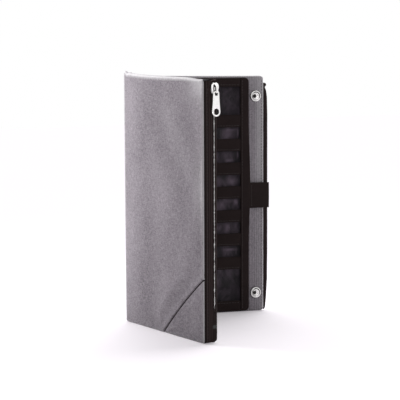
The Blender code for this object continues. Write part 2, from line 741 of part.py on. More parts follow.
def build_card_pockets(parent, lining, tape):
    """Stepped pockets, each leaning out to its mouth, with a folded band along the mouth."""
    left = ORGANISER_START + BORDER_WIDTH + SEAT_GAP
    right = BORDER_EDGE - BORDER_WIDTH - SEAT_GAP
    lowest = ORGANISER_FOOT + BORDER_FOOT_WIDTH + SEAT_GAP
    back = CARD_DEPTH + CARD_PANEL / 2
    front = back + CARD_PANEL_LEAN
    for i in range(CARD_POCKETS):
        mouth = FIRST_MOUTH - i * MOUTH_PITCH
        foot = max(mouth - MOUTH_PITCH - CARD_OVERLAP, lowest)
        section = strip_outline([(-back, foot), (-front, mouth)], CARD_PANEL)
        add_object(f"card_pocket_{i + 1}", prism(section, "YZ", left, right), lining, parent)
        near = front + CARD_PANEL / 2 + SEAT_GAP
        lip_back = front - CARD_PANEL / 2
        lip_foot = mouth + SEAT_GAP
        lip_top = lip_foot + BAND
        band = [
            (-near, mouth - BAND_HEIGHT),
            (-near - BAND, mouth - BAND_HEIGHT),
            (-near - BAND, lip_top - BAND / 3),
            (-near - BAND * 2 / 3, lip_top),
            (-lip_back, lip_top),
            (-lip_back, lip_foot),
            (-near, lip_foot),
        ]
        add_object(f"card_band_{i + 1}", prism(band, "YZ", left, right), tape, parent)


def build_pen_loop(parent, tape):
    """A flattened elastic loop across the facing and past the free edge."""
    thickness = 2 * PEN_LOOP_BAND + PEN_LOOP_GAP
    left = BORDER_EDGE + SEAT_GAP
    right = COVER_WIDTH + PEN_LOOP_PAST_EDGE
    outer = rounded_rectangle(
        left, right, -OVER_FACING - thickness, -OVER_FACING, [PEN_LOOP_ROUNDING * thickness] * 4, 5
    )
    foot = PEN_LOOP_CENTRE - PEN_LOOP_HEIGHT / 2
    top = PEN_LOOP_CENTRE + PEN_LOOP_HEIGHT / 2
    loop = add_object("pen_loop", prism(outer, "XY", foot, top), tape, parent)
    inner = rounded_rectangle(
        left + PEN_LOOP_BAND,
        right - PEN_LOOP_BAND,
        -OVER_FACING - thickness + PEN_LOOP_BAND,
        -OVER_FACING - PEN_LOOP_BAND,
        [PEN_LOOP_ROUNDING * PEN_LOOP_GAP] * 4,
    )
    hollow = prism(inner, "XY", foot - PEN_LOOP_GAP, top + PEN_LOOP_GAP)
    combine(loop, add_object("pen_loop_hollow", hollow, tape, parent), "DIFFERENCE")
    return shade_round(loop)


def piping_stations():
    """Heights and widths along the piping: a long taper at the foot, a notch and a knob at the top."""
    notch = PIPING_TOP - PIPING_NOTCH_BELOW_TOP
    return [
        (PIPING_FOOT, 0.4 * PIPING_FOOT_WIDTH),
        (PIPING_FOOT + PIPING_TIP, PIPING_FOOT_WIDTH),
        (PIPING_FOOT + 0.4 * PIPING_TAPER, 0.7 * PIPING_WIDTH),
        (PIPING_FOOT + PIPING_TAPER, 0.94 * PIPING_WIDTH),
        (PIPING_FOOT + 2 * PIPING_TAPER, PIPING_WIDTH),
        (notch - 0.9 * PIPING_TAPER, PIPING_WIDTH),
        (notch - 0.3 * PIPING_TAPER, 0.9 * PIPING_WIDTH),
        (notch - 0.1 * PIPING_TAPER, 0.7 * PIPING_WIDTH),
        (notch, PIPING_NOTCH_WIDTH),
        (notch + PIPING_NOTCH_LENGTH, PIPING_NOTCH_WIDTH),
        (notch + PIPING_NOTCH_LENGTH + PIPING_KNOB_SHOULDER, 0.9 * PIPING_KNOB_WIDTH),
        (PIPING_TOP - 3 * PIPING_KNOB_SHOULDER, PIPING_KNOB_WIDTH),
        (PIPING_TOP - PIPING_KNOB_SHOULDER, 0.85 * PIPING_KNOB_WIDTH),
        (PIPING_TOP, 0.35 * PIPING_KNOB_WIDTH),
    ]


def build_piping(parent, tape):
    """Lofted through rings that all touch the cover's free edge on their inner side."""
    depth = BOARD_DEPTH - CLOTH / 2 + PIPING_THICKNESS / 2
    near = COVER_WIDTH + SEAT_GAP
    shape = bmesh.new()
    rings = []
    for height, width in piping_stations():
        thick = PIPING_THICKNESS / 2 * min(1.0, 0.35 + 0.65 * width / PIPING_KNOB_WIDTH)
        ring = []
        for k in range(PIPING_STEPS):
            turn = 2 * math.pi * k / PIPING_STEPS
            x = near + width / 2 * (1 + math.cos(turn))
            ring.append(shape.verts.new((x, -depth + thick * math.sin(turn), height)))
        rings.append(ring)
    for low, high in zip(rings, rings[1:]):
        for k in range(PIPING_STEPS):
            j = (k + 1) % PIPING_STEPS
            shape.faces.new((low[k], low[j], high[j], high[k]))
    shape.faces.new(rings[0][::-1])
    shape.faces.new(rings[-1])
    return shade_round(add_object("back_edge_piping", shape, tape, parent), math.radians(60.0))


def visible_corners():
    """World corners of every solid's evaluated mesh, helpers left out."""
    bpy.context.view_layer.update()
    graph = bpy.context.evaluated_depsgraph_get()
    for obj in bpy.data.objects:
        if obj.type != "MESH" or obj.hide_render:
            continue
        evaluated = obj.evaluated_get(graph)
        mesh = evaluated.to_mesh()
        for vertex in mesh.vertices:
            yield evaluated.matrix_world @ vertex.co
        evaluated.to_mesh_clear()


def centre_over_origin(frame):
    """Moves the whole wallet so that its box stands on z = 0 with its middle over the origin."""
    corners = list(visible_corners())
    low = [min(c[k] for c in corners) for k in range(3)]
    high = [max(c[k] for c in corners) for k in range(3)]
    frame.location = (-(low[0] + high[0]) / 2, -(low[1] + high[1]) / 2, -low[2])


def main():
    clear_scene()
    grey = material("grey_cloth", (0.30, 0.28, 0.30), 0.9)
    lining = material("dark_lining", (0.045, 0.04, 0.045), 0.55)
    tape = material("black_tape", (0.012, 0.011, 0.012), 0.85)
    board = material("grey_board", (0.25, 0.24, 0.22), 0.8)
    metal = material("bright_metal", (0.75, 0.75, 0.75), 0.25, 1.0)

    spine_turn = math.pi / 2 + OPENING_ANGLE / 2
    frame = add_empty("wallet_frame")
    front = add_empty("front_fold_line", parent=frame)
    spine = add_empty("spine_line", turn=spine_turn, parent=frame)
    fold = (SPINE_WIDTH * math.cos(spine_turn), SPINE_WIDTH * math.sin(spine_turn), 0.0)
    back = add_empty("back_fold_line", location=fold, turn=OPENING_ANGLE, parent=frame)
    slider = add_empty("slider_line", parent=front)
    pivot = add_empty("pull_pivot", (PULL_PIVOT_X, CHAIN_CENTRE_DEPTH, PULL_PIVOT_Z), parent=slider)

    build_spine(spine, grey, board, lining)
    build_front_panels(front, grey, board, lining)
    build_pocket_shell(front, lining)
    build_slip_pocket(front, lining, tape)
    build_zip_tape(front, tape, metal)
    build_chain(front, metal)
    build_slider(slider, metal)
    build_pull(pivot, metal)
    build_back_panels(back, grey, board, lining)
    build_border(back, tape)
    build_card_pockets(back, lining, tape)
    build_snaps(front, back, metal)
    build_pen_loop(back, tape)
    build_piping(back, tape)
    centre_over_origin(frame)


main()
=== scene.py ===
"""Dresses the travel wallet: cloth, linings, tapes, zip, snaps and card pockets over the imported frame."""

import json
import math
from contextlib import contextmanager

import bmesh
import bpy
import numpy as np
from bpy.props import FloatProperty, FloatVectorProperty, IntProperty
from mathutils import Matrix, Vector


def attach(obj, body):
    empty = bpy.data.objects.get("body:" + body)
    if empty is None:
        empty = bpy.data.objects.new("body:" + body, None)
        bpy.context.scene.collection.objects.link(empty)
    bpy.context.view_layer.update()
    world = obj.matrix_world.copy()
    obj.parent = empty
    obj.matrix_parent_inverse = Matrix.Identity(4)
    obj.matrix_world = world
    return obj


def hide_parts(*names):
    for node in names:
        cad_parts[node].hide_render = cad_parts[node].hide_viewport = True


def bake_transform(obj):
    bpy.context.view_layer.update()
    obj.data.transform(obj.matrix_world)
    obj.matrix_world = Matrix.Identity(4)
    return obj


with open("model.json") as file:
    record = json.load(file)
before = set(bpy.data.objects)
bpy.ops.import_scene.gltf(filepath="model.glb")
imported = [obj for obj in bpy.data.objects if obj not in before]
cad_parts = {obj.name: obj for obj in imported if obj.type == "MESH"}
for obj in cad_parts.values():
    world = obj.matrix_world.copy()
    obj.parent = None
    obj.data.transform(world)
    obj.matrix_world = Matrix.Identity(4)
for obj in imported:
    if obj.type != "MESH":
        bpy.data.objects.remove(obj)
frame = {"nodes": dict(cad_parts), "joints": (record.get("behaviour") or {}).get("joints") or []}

bl_info = {
    "name": "Travel Wallet Dressing",
    "version": (1, 0, 0),
    "blender": (4, 5, 0),
    "location": "3D Viewport > Sidebar > Wallet",
    "description": "Builds the cloth, tape and metal pieces of a travel wallet over its frame",
    "category": "Object",
}

# Shapes are worked out in millimetres and MM turns them into metres at the mesh
MM = 0.001


def alike(*values):
    """Gives numbers and arrays one shape."""
    return np.broadcast_arrays(*(np.asarray(value, float) for value in values))


def heading(turn):
    return np.array([math.cos(turn), math.sin(turn)])


def unit(way):
    return way / np.linalg.norm(way)


def places_of(obj):
    """Places of an object's vertices, in millimetres."""
    co = np.empty(len(obj.data.vertices) * 3)
    obj.data.vertices.foreach_get("co", co)
    return co.reshape(-1, 3) / MM


def put_places(obj, points):
    obj.data.vertices.foreach_set("co", np.ascontiguousarray(points * MM, np.float32).ravel())
    obj.data.update()


class Lay:
    """A frame of one cover or of the spine: x along it, depth into the wallet, z up."""

    def __init__(self, body, origin, along, inward):
        self.body, self.origin, self.along, self.inward = body, origin, along, inward

    def at(self, x, depth, z):
        x, depth, z = alike(x, depth, z)
        plan = self.origin + x[..., None] * self.along + depth[..., None] * self.inward
        return np.concatenate([plan, z[..., None]], axis=-1)

    def seen(self, node):
        """x, depth and z of each vertex of a CAD node."""
        points = places_of(frame["nodes"][node])
        plan = points[:, :2] - self.origin
        return np.stack([plan @ self.along, plan @ self.inward, points[:, 2]], axis=1)

    def extent(self, node):
        """Least and greatest x, depth and z of a CAD node."""
        points = self.seen(node)
        return np.array([points.min(axis=0), points.max(axis=0)])


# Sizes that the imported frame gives
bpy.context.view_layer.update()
JOINTS = {joint["name"]: joint for joint in frame["joints"]}
FRONT_FOLD = np.array(JOINTS["front_fold"]["pos_m"][:2]) / MM
BACK_FOLD = np.array(JOINTS["back_fold"]["pos_m"][:2]) / MM
PULL_PIVOT = np.array(JOINTS["pull_swing"]["pos_m"]) / MM
SPINE_WIDTH = float(np.linalg.norm(BACK_FOLD - FRONT_FOLD))
SPINE_TURN = math.atan2(BACK_FOLD[1] - FRONT_FOLD[1], BACK_FOLD[0] - FRONT_FOLD[0])
OPENING = 2 * SPINE_TURN - math.pi

FRONT = Lay("front_cover", FRONT_FOLD, heading(0.0), heading(math.pi / 2))
BACK = Lay("back_cover", BACK_FOLD, heading(OPENING), heading(OPENING - math.pi / 2))
SPINE = Lay("spine", FRONT_FOLD, heading(SPINE_TURN), heading(SPINE_TURN - math.pi / 2))
SPINE_REVERSED = Lay("spine", BACK_FOLD, -SPINE.along, SPINE.inward)

WIDTH, _, HEIGHT = FRONT.extent("front_outer_panel")[1]
CHAIN_X, _, _ = FRONT.extent("zip_teeth_outer").mean(axis=0)
CHAIN_FOOT, CHAIN_HEAD = FRONT.extent("zip_teeth_outer")[:, 2]
CHAIN_DEPTH = PULL_PIVOT[1] - FRONT_FOLD[1]
SLIDER_FOOT, SLIDER_TOP = FRONT.extent("slider_body")[:, 2]
POCKET_FACE = FRONT.extent("front_pocket_shell")[1, 1]

# Layers of a cover, as depths from the middle of its outer cloth
OUTER_FACE = -0.6
OVER_BOARD = 2.4
FACING_FACE = 3.4
BACKING_FACE = 4.2
CARD_FOOT = 4.6
CARD_MOUTH = 5.75
BORDER_FACE = 6.9
TAPE_FLAT = POCKET_FACE + 0.65
TAPE_BACK = TAPE_FLAT + 1.2

# Outline of a cover, its corner patch and its hems
CORNER = 3.0
PATCH_HEIGHT = 55.3
PATCH_LENGTH = 63.0
PATCH_SAGITTA = 1.8
SEAM_GAP = 1.5
SEAM_ROLL = 1.0
FREE_HEM = 1.3
FOOT_ROUND = 5.5
TUCK = 0.55

# From a cover's free edge to its snaps, from a binding's inner edge to its stitches, and farther than any edge
SNAP_INSET = 8.0
BINDING_SEAM = 1.7
FAR = 1000.0

# Where a flat shape's own x, y and z point once it stands on the free edge, or beside it on the bridge
ON_EDGE = ((0, 1, 0), (0, 0, 1), (1, 0, 0))
SIDEWAYS = ((1, 0, 0), (0, 0, 1), (0, -1, 0))


class WalletClothSettings(bpy.types.PropertyGroup):
    """Sizes and colours of the grey cloth."""

    thickness: FloatProperty(
        name="Thickness", description="Thickness of the turned cloth",
        default=0.0005, min=0.0002, max=0.0012, unit="LENGTH", subtype="DISTANCE")
    hem_radius: FloatProperty(
        name="Hem radius", description="Radius of the cloth where it turns over the board's edge",
        default=0.0021, min=0.0006, max=0.0024, unit="LENGTH", subtype="DISTANCE")
    crown: FloatProperty(
        name="Crown", description="How far the cloth stands up between its hems",
        default=0.0009, min=0.0, max=0.002, unit="LENGTH", subtype="DISTANCE")
    swell: FloatProperty(
        name="Swell", description="Height of the cloth's soft unevenness",
        default=0.0003, min=0.0, max=0.0006, unit="LENGTH", subtype="DISTANCE")
    dark_yarn: FloatVectorProperty(
        name="Dark yarn", description="Colour of the darker yarns",
        default=(0.132, 0.113, 0.133), min=0.0, max=1.0, size=3, subtype="COLOR")
    pale_yarn: FloatVectorProperty(
        name="Pale yarn", description="Colour of the paler yarns",
        default=(0.60, 0.545, 0.60), min=0.0, max=1.0, size=3, subtype="COLOR")
    # Painted highlight: the colour that the cloth turns to on its lit hems, folds and patches
    highlight_yarn: FloatVectorProperty(
        name="Worn yarn", description="Colour of the yarns where the cloth folds over an edge",
        default=(0.98, 0.96, 0.98), min=0.0, max=1.0, size=3, subtype="COLOR")


class WalletTapeSettings(bpy.types.PropertyGroup):
    """Sizes and colours of the black tapes and the dark nylon."""

    tape_colour: FloatVectorProperty(
        name="Tape", description="Colour of the woven tapes",
        default=(0.0376, 0.0258, 0.0256), min=0.0, max=1.0, size=3, subtype="COLOR")
    nylon_colour: FloatVectorProperty(
        name="Nylon", description="Colour of the lining and the card pockets",
        default=(0.0215, 0.0165, 0.0215), min=0.0, max=1.0, size=3, subtype="COLOR")
    stitch_length: FloatProperty(
        name="Stitch length", description="Distance from one stitch to the next",
        default=0.0027, min=0.0015, max=0.005, unit="LENGTH", subtype="DISTANCE")
    slit: FloatProperty(
        name="Zip slit", description="Half the width of the gap between the tapes in which the teeth show",
        default=0.0005, min=0.0003, max=0.002, unit="LENGTH", subtype="DISTANCE")


class WalletMetalSettings(bpy.types.PropertyGroup):
    """Colour and polish of the zip's and the snaps' metal."""

    nickel: FloatVectorProperty(
        name="Nickel", description="Colour of the nickel plate",
        default=(0.91, 0.90, 0.885), min=0.0, max=1.0, size=3, subtype="COLOR")
    polish: FloatProperty(
        name="Roughness", description="Roughness of the nickel plate",
        default=0.22, min=0.02, max=0.8, subtype="FACTOR")
    turned_steps: IntProperty(
        name="Turned steps", description="Number of faces round a snap", default=48, min=16, max=96)


class WalletStageSettings(bpy.types.PropertyGroup):
    """The camera and the light."""

    azimuth: FloatProperty(
        name="Azimuth", description="Camera's turn about the wallet", default=math.radians(55.6), subtype="ANGLE")
    elevation: FloatProperty(
        name="Elevation", description="Camera's height above the horizon", default=math.radians(6.1),
        subtype="ANGLE")
    roll: FloatProperty(
        name="Roll", description="Camera's turn about its own line of sight", default=math.radians(-0.25),
        subtype="ANGLE")
    distance: FloatProperty(
        name="Distance", description="From the camera to the point that it looks at",
        default=1.285, min=0.3, max=5.0, unit="LENGTH", subtype="DISTANCE")
    lens: FloatProperty(
        name="Lens", description="Focal length on a sensor 36 mm wide", default=126.0, min=20.0, max=400.0,
        unit="CAMERA")
    ambient: FloatProperty(
        name="Ambient", description="Strength of the even light from all round", default=0.17, min=0.0, max=2.0)
    overhead: FloatProperty(
        name="Overhead", description="Strength of the broad light from above, in watts on a square metre",
        default=3.15, min=0.0, max=10.0)


SETTINGS = {
    "wallet_cloth": WalletClothSettings,
    "wallet_tape": WalletTapeSettings,
    "wallet_metal": WalletMetalSettings,
    "wallet_stage": WalletStageSettings,
}


class Fold:
    """A layer's way round the bend between the spine and a cover, by its length s from the bend's middle."""

    def __init__(self, cover, spine, radius):
        self.cover, self.spine, self.radius = cover, spine, radius
        half = (math.pi - math.acos(float(cover.along @ spine.along))) / 2
        self.bisector, self.side = unit(cover.along + spine.along), unit(cover.along - spine.along)
        self.centre = cover.origin + self.bisector * radius / math.cos(half)
        self.tangent, self.bend = radius * math.tan(half), radius * half

    def length(self, x):
        """s of a place on the cover; a place on the spine has the same length with a minus."""
        return x - self.tangent + self.bend

    def cover_x(self, s):
        return s + self.tangent - self.bend

    def at(self, s, depth, z):
        s, depth, z = (value[..., None] for value in alike(s, depth, z))
        bent = np.clip(s, -self.bend, self.bend)
        turn, past = bent / self.radius, s - bent
        plan = self.centre + (self.radius - depth) * (self.side * np.sin(turn) - self.bisector * np.cos(turn))
        plan = plan + np.maximum(past, 0.0) * self.cover.along + np.maximum(-past, 0.0) * self.spine.along
        return np.concatenate([plan, z], axis=-1)

    def bodies(self, reach):
        """Both bodies and a point on each, in metres."""
        ends = [(lay.at(reach, 0.0, HEIGHT / 2) * MM).tolist() for lay in (self.spine, self.cover)]
        return (self.spine.body, self.cover.body, *ends)


FRONT_BEND, BACK_BEND = Fold(FRONT, SPINE, 2.0), Fold(BACK, SPINE_REVERSED, 2.0)


def smooth(value, low=0.0, over=1.0):
    """0 up to low, 1 from low plus over on, smooth in between."""
    share = np.clip((value - low) / over, 0.0, 1.0)
    return share * share * (3 - 2 * share)


def bell(value, width):
    """1 at 0 and fading to both sides."""
    return np.exp(-((value / width) ** 2))


def groove(distance, width, depth):
    """A sewn channel: its drop at a distance from its middle line."""
    return depth * bell(distance, 0.5 * width)


def rolled(distance, radius):
    """How far a rounded rim has dropped at a distance from its edge."""
    near = np.clip(radius - distance, 0.0, radius)
    return radius - np.sqrt(np.maximum(radius**2 - near**2, 0.0))


def eased(value, over):
    """0 at 0, rising fast at first, 1 from the given value on."""
    return 1 - (1 - np.clip(value / over, 0.0, 1.0)) ** 2


def swells(a, b, size, seed):
    """Soft unevenness of about one size, the same on each run."""
    random = np.random.default_rng(seed)
    total, count = 0.0, 7
    for _ in range(count):
        turn, stretch, phase = random.uniform(0.0, 1.0, 3)
        wave = 2 * math.pi / (size * (0.7 + 0.9 * stretch))
        turn *= math.pi
        total = total + np.sin((a * math.cos(turn) + b * math.sin(turn)) * wave + phase * 6.283)
    return total / math.sqrt(count)


def rim_steps(radius, count=6):
    """Distances from an edge that share a round rim evenly."""
    return radius * (1 - np.cos(np.linspace(0.0, math.pi / 2, count + 1)))


def spread(low, high, step):
    """Evenly spaced values with both ends."""
    return np.linspace(low, high, max(2, int(round((high - low) / step)) + 1))


def with_rims(low, high, rim_low, rim_high, step):
    """Values from low to high, crowded along the ends by the given distances."""
    start = low + rim_low if len(rim_low) else np.array([low])
    end = (high - rim_high)[::-1] if len(rim_high) else np.array([high])
    return np.concatenate([start, spread(start[-1], end[0], step)[1:-1], end])


def rows_between(low, high, rim, count):
    """Heights from low to high over each column, crowded along both rims."""
    length = high - low
    near = rim[:, None] * np.minimum(1.0, length / (4 * rim[-1]))[None, :]
    inner = near[-1] + np.linspace(0.0, 1.0, count + 2)[1:-1, None] * (length - 2 * near[-1])
    return low + np.concatenate([near, inner, (length - near)[::-1]])


def deselect():
    if bpy.context.object is not None and bpy.context.object.mode != "OBJECT":
        bpy.ops.object.mode_set(mode="OBJECT")
    bpy.ops.object.select_all(action="DESELECT")


def choose(*objects):
    deselect()
    for obj in objects:
        obj.select_set(True)
    bpy.context.view_layer.objects.active = objects[0]


@contextmanager
def edit_mode(obj):
    """Edit mode with all of an object's mesh selected."""
    choose(obj)
    bpy.ops.object.mode_set(mode="EDIT")
    bpy.ops.mesh.select_all(action="SELECT")
    yield
    bpy.ops.object.mode_set(mode="OBJECT")


def name_piece(name):
    obj = bpy.context.active_object
    obj.name = obj.data.name = name
    return obj


def put_chart(obj, chart):
    """Keeps each vertex's place on the flat cloth, in metres, as the UV map."""
    loops = np.empty(len(obj.data.loops), np.int32)
    obj.data.loops.foreach_get("vertex_index", loops)
    layer = obj.data.uv_layers[0] if obj.data.uv_layers else obj.data.uv_layers.new(name="UVMap")
    layer.data.foreach_set("uv", np.ascontiguousarray(chart[loops] * MM, np.float32).ravel())


def put_painted_shading(obj, values):
    """Keeps each vertex's painted highlight or painted shade, for its material."""
    layer = obj.data.attributes.get("painted_shading") or obj.data.attributes.new("painted_shading", "FLOAT", "POINT")
    values = np.broadcast_to(values, len(obj.data.vertices))
    layer.data.foreach_set("value", np.ascontiguousarray(values, np.float32))


def finish_with(obj, kind, **values):
    """Adds a modifier, sets it and applies it."""
    choose(obj)
    modifier = obj.modifiers.new(kind.lower(), kind)
    for key, value in values.items():
        setattr(modifier, key, value)
    bpy.ops.object.modifier_apply(modifier=modifier.name)
    return obj


def shade(obj, angle=50.0):
    choose(obj)
    bpy.ops.object.shade_smooth_by_angle(angle=math.radians(angle))
    return obj


def closed_up(obj, merge=1e-6):
    """Merges doubled points and turns all faces outwards."""
    with edit_mode(obj):
        bpy.ops.mesh.remove_doubles(threshold=merge)
        bpy.ops.mesh.normals_make_consistent(inside=False)
    return obj


def in_a_row(obj, count, step):
    """Repeats a piece by a step, in metres, and closes up each copy."""
    finish_with(obj, "ARRAY", count=count, use_relative_offset=False, use_constant_offset=True,
                constant_offset_displace=step)
    return closed_up(obj)


def stood(obj, place, ways):
    """Turns a shape in its mesh, so that its own x, y and z point the given ways, and moves it to a place."""
    turn = Matrix(ways).transposed()
    obj.data.transform(Matrix.Translation(Vector((place * MM).tolist())) @ turn.to_4x4())
    obj.data.update()
    return closed_up(obj) if turn.determinant() < 0 else obj


def lengths(points, axis):
    """Mean lengths along rows or columns of places, from zero."""
    steps = np.linalg.norm(np.diff(points, axis=axis), axis=-1).mean(axis=1 - axis)
    return np.concatenate([[0.0], np.cumsum(steps)])


def run_of(path):
    """Length along a path at each of its points."""
    return np.concatenate([[0.0], np.cumsum(np.linalg.norm(np.diff(path, axis=0), axis=1))])


def grid_over(name, points, chart=None, painted_shading=None):
    """A grid laid over rows by columns of places; painted highlight or shade is kept with each of them."""
    rows, columns = points.shape[0] - 1, points.shape[1] - 1
    deselect()
    bpy.ops.mesh.primitive_grid_add(x_subdivisions=columns, y_subdivisions=rows, size=MM,
                                    location=(0.5 * MM, 0.5 * MM, 0.0))
    bpy.ops.object.transform_apply(location=True, rotation=True, scale=True)
    obj = name_piece(name)
    i, j, _ = np.rint(places_of(obj) * (columns, rows, 1)).astype(int).T
    put_places(obj, points[j, i])
    if chart is None:
        chart = np.stack(np.meshgrid(lengths(points, 1), lengths(points, 0)), axis=-1)
    put_chart(obj, chart[j, i])
    if painted_shading is not None:
        put_painted_shading(obj, np.broadcast_to(painted_shading, points.shape[:2])[j, i])
    return obj


def cloth_over(name, points, thickness, shown, chart=None, painted_shading=None, angle=50.0):
    """A cloth piece laid over places, thickened away from the side it shows."""
    obj = grid_over(name, points, chart, painted_shading)
    normals = np.empty(len(obj.data.polygons) * 3)
    obj.data.polygons.foreach_get("normal", normals)
    if float(normals.reshape(-1, 3).mean(axis=0)[:2] @ np.asarray(shown)) < 0:
        with edit_mode(obj):
            bpy.ops.mesh.flip_normals()
    finish_with(obj, "SOLIDIFY", thickness=thickness * MM, offset=-1.0, use_rim=True, use_even_offset=False)
    return shade(obj, angle)


def tube_over(name, rings, angle=50.0):
    """A closed body through rings of places, with flat ends."""
    obj = grid_over(name, np.concatenate([rings, rings[:, :1]], axis=1))
    with edit_mode(obj):
        bpy.ops.mesh.select_mode(type="EDGE")
        bpy.ops.mesh.select_all(action="SELECT")
        bpy.ops.mesh.remove_doubles(threshold=1e-7)
        bpy.ops.mesh.select_all(action="DESELECT")
        bpy.ops.mesh.select_non_manifold(extend=False, use_wire=False, use_multi_face=False,
                                         use_non_contiguous=False, use_verts=False)
        bpy.ops.mesh.fill_holes(sides=0)
        bpy.ops.mesh.select_all(action="SELECT")
        bpy.ops.mesh.normals_make_consistent(inside=False)
    return shade(obj, angle)


def wire_from(name, loops):
    """Closed outlines through the points of each loop, in edit mode."""
    deselect()
    obj = None
    for loop in loops:
        bpy.ops.mesh.primitive_circle_add(vertices=len(loop), fill_type="NOTHING")
        if obj is None:
            obj = name_piece(name)
            bpy.ops.object.mode_set(mode="EDIT")
    shape = bmesh.from_edit_mesh(obj.data)
    shape.verts.ensure_lookup_table()
    for vertex, point in zip(shape.verts, [point for loop in loops for point in loop]):
        vertex.co = [coordinate * MM for coordinate in point]
    bmesh.update_edit_mesh(obj.data)
    return obj


def plate_from(name, loops, thickness, bevel, segments=3):
    """A flat plate with holes: closed outlines, the outer one first, filled, extruded and bevelled."""
    obj = wire_from(name, [[(*point, -thickness / 2) for point in loop] for loop in loops])
    bpy.ops.mesh.select_all(action="SELECT")
    bpy.ops.mesh.fill(use_beauty=True)
    bpy.ops.mesh.select_all(action="SELECT")
    bpy.ops.mesh.extrude_region_move(TRANSFORM_OT_translate={"value": (0.0, 0.0, thickness * MM)})
    closed_up(obj)
    if bevel:
        finish_with(obj, "BEVEL", width=bevel * MM, segments=segments, limit_method="ANGLE",
                    angle_limit=math.radians(35.0), use_clamp_overlap=True)
    return shade(obj, 40.0)


def turned(name, profile, steps):
    """Spins a profile of radius and height about the z axis."""
    obj = wire_from(name, [[(radius, 0.0, height) for radius, height in profile]])
    bpy.ops.mesh.select_mode(type="EDGE")
    shape = bmesh.from_edit_mesh(obj.data)
    for edge in shape.edges:
        edge.select_set({v.index for v in edge.verts} == {0, len(profile) - 1})
    bmesh.update_edit_mesh(obj.data)
    bpy.ops.mesh.delete(type="EDGE")
    bpy.ops.mesh.select_all(action="SELECT")
    bpy.ops.mesh.spin(steps=steps, angle=2 * math.pi, center=(0.0, 0.0, 0.0), axis=(0.0, 0.0, 1.0))
    return shade(closed_up(obj), 60.0)


def join_as(name, *objects):
    choose(*objects)
    bpy.ops.object.join()
    return name_piece(name)


def shifted(points, x, y):
    return [(px + x, py + y) for px, py in points]


def arc(centre, radius, start, end, steps):
    return [tuple(centre + radius * heading(turn)) for turn in np.linspace(start, end, steps + 1)]


def rounded_box(left, right, foot, top, radius, steps=5):
    """Outline of a box with round corners, from its lower right one."""
    points = []
    for number, (x, y) in enumerate(((right, foot), (right, top), (left, top), (left, foot))):
        centre = (x - radius if x == right else x + radius, y - radius if y == top else y + radius)
        start = (number - 1) * math.pi / 2
        points += arc(centre, radius, start, start + math.pi / 2, steps)
    return points


def smooth_path(points, steps):
    """A smooth curve through points, as evenly spaced places."""
    points = np.array(points, float)
    whole = np.concatenate([[2 * points[0] - points[1]], points, [2 * points[-1] - points[-2]]])
    t = np.linspace(0.0, 1.0, 12, endpoint=False)[:, None]
    fine = [
        0.5 * ((2 * b) + (c - a) * t + (2 * a - 5 * b + 4 * c - d) * t**2 + (3 * b - a - 3 * c + d) * t**3)
        for a, b, c, d in zip(whole, whole[1:], whole[2:], whole[3:])
    ]
    fine = np.concatenate([*fine, points[-1:]])
    wanted = np.linspace(0.0, run_of(fine)[-1], steps + 1)
    return np.stack([np.interp(wanted, run_of(fine), column) for column in fine.T], axis=1)


def sides_of(path, toward):
    """Normals of a path in a plane, on the side of the given ways."""
    tangent = np.gradient(path, axis=0)
    tangent /= np.linalg.norm(tangent, axis=1)[:, None]
    normals = np.stack([-tangent[:, 1], tangent[:, 0]], axis=1)
    return normals * np.where((normals * toward).sum(axis=1) > 0, 1.0, -1.0)[:, None]


def dress(obj, look, body, *nodes):
    """Gives a finished piece its material and its body, and hides the CAD nodes that it stands for."""
    material, slot = look
    paint(obj, material)
    if isinstance(body, str):
        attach(obj, body)
    else:
        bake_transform(obj)
    if nodes:
        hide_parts(*nodes)
    return obj


def paint(obj, material):
    obj.data.materials.clear()
    obj.data.materials.append(material)


def sew(name, lay, start, end, look=None, out=None, pitch=None, width=0.26):
    """A straight row of stitches lying on a surface: one stitch is modelled and the row is its array."""
    start, end = (Vector((lay.at(*place) * MM).tolist()) for place in (start, end))
    out = Vector(out or (*lay.inward, 0.0)).normalized()
    pitch = pitch * MM if pitch else bpy.context.scene.wallet_tape.stitch_length
    run, along = end - start, (end - start).normalized()
    count = max(2, int(run.length / pitch))
    deselect()
    bpy.ops.mesh.primitive_uv_sphere_add(segments=6, ring_count=6, radius=MM)
    obj = name_piece(name)
    x, y, z = places_of(obj).T[..., None]
    first = np.array(start + along * (run.length / count / 2)) / MM
    half = 0.40 * run.length / MM / count
    put_places(
        obj,
        first
        + x * width * np.array(along.cross(out))
        + (0.8 * y + 0.25 - 0.9 * z**4) * width * np.array(out)
        + np.sign(z) * np.abs(z) ** 0.7 * half * np.array(along),
    )
    in_a_row(obj, count, run / count)
    shade(obj, 80.0)
    return dress(obj, look or sewing_thread(*BLACK_THREAD), lay.body)


def maths(operation, swapped=False):
    """A method that adds one Math node for its values."""

    def method(self, *others):
        values = (*others, self) if swapped else (self, *others)
        return self.look.node("ShaderNodeMath", {"operation": operation}, dict(enumerate(values)))

    return method


class Socket:
    """A value of a material's nodes that takes part in sums; each sum adds its Math node."""

    def __init__(self, look, socket):
        self.look, self.socket = look, socket

    __add__ = __radd__ = maths("ADD")
    __mul__ = __rmul__ = maths("MULTIPLY")
    __sub__, __rsub__ = maths("SUBTRACT"), maths("SUBTRACT", swapped=True)
    sine, absolute = maths("SINE"), maths("ABSOLUTE")
    least, most = maths("MINIMUM"), maths("MAXIMUM")

    def clamped(self):
        return self.least(1.0).most(0.0)

    def swing(self, amount):
        """How far a noise is from its middle value, one half, by an amount."""
        return amount * (self - 0.5)

    def waves(self, pitch):
        """Waves along a length in metres, by their pitch in millimetres."""
        return (self * (2 * math.pi / (pitch * MM))).sine()

    def between(self, low, high):
        """0 below low, 1 above high, smooth in between."""
        return self.look.node("ShaderNodeMapRange", {"interpolation_type": "SMOOTHSTEP"},
                              {"Value": self, "From Min": low, "From Max": high})


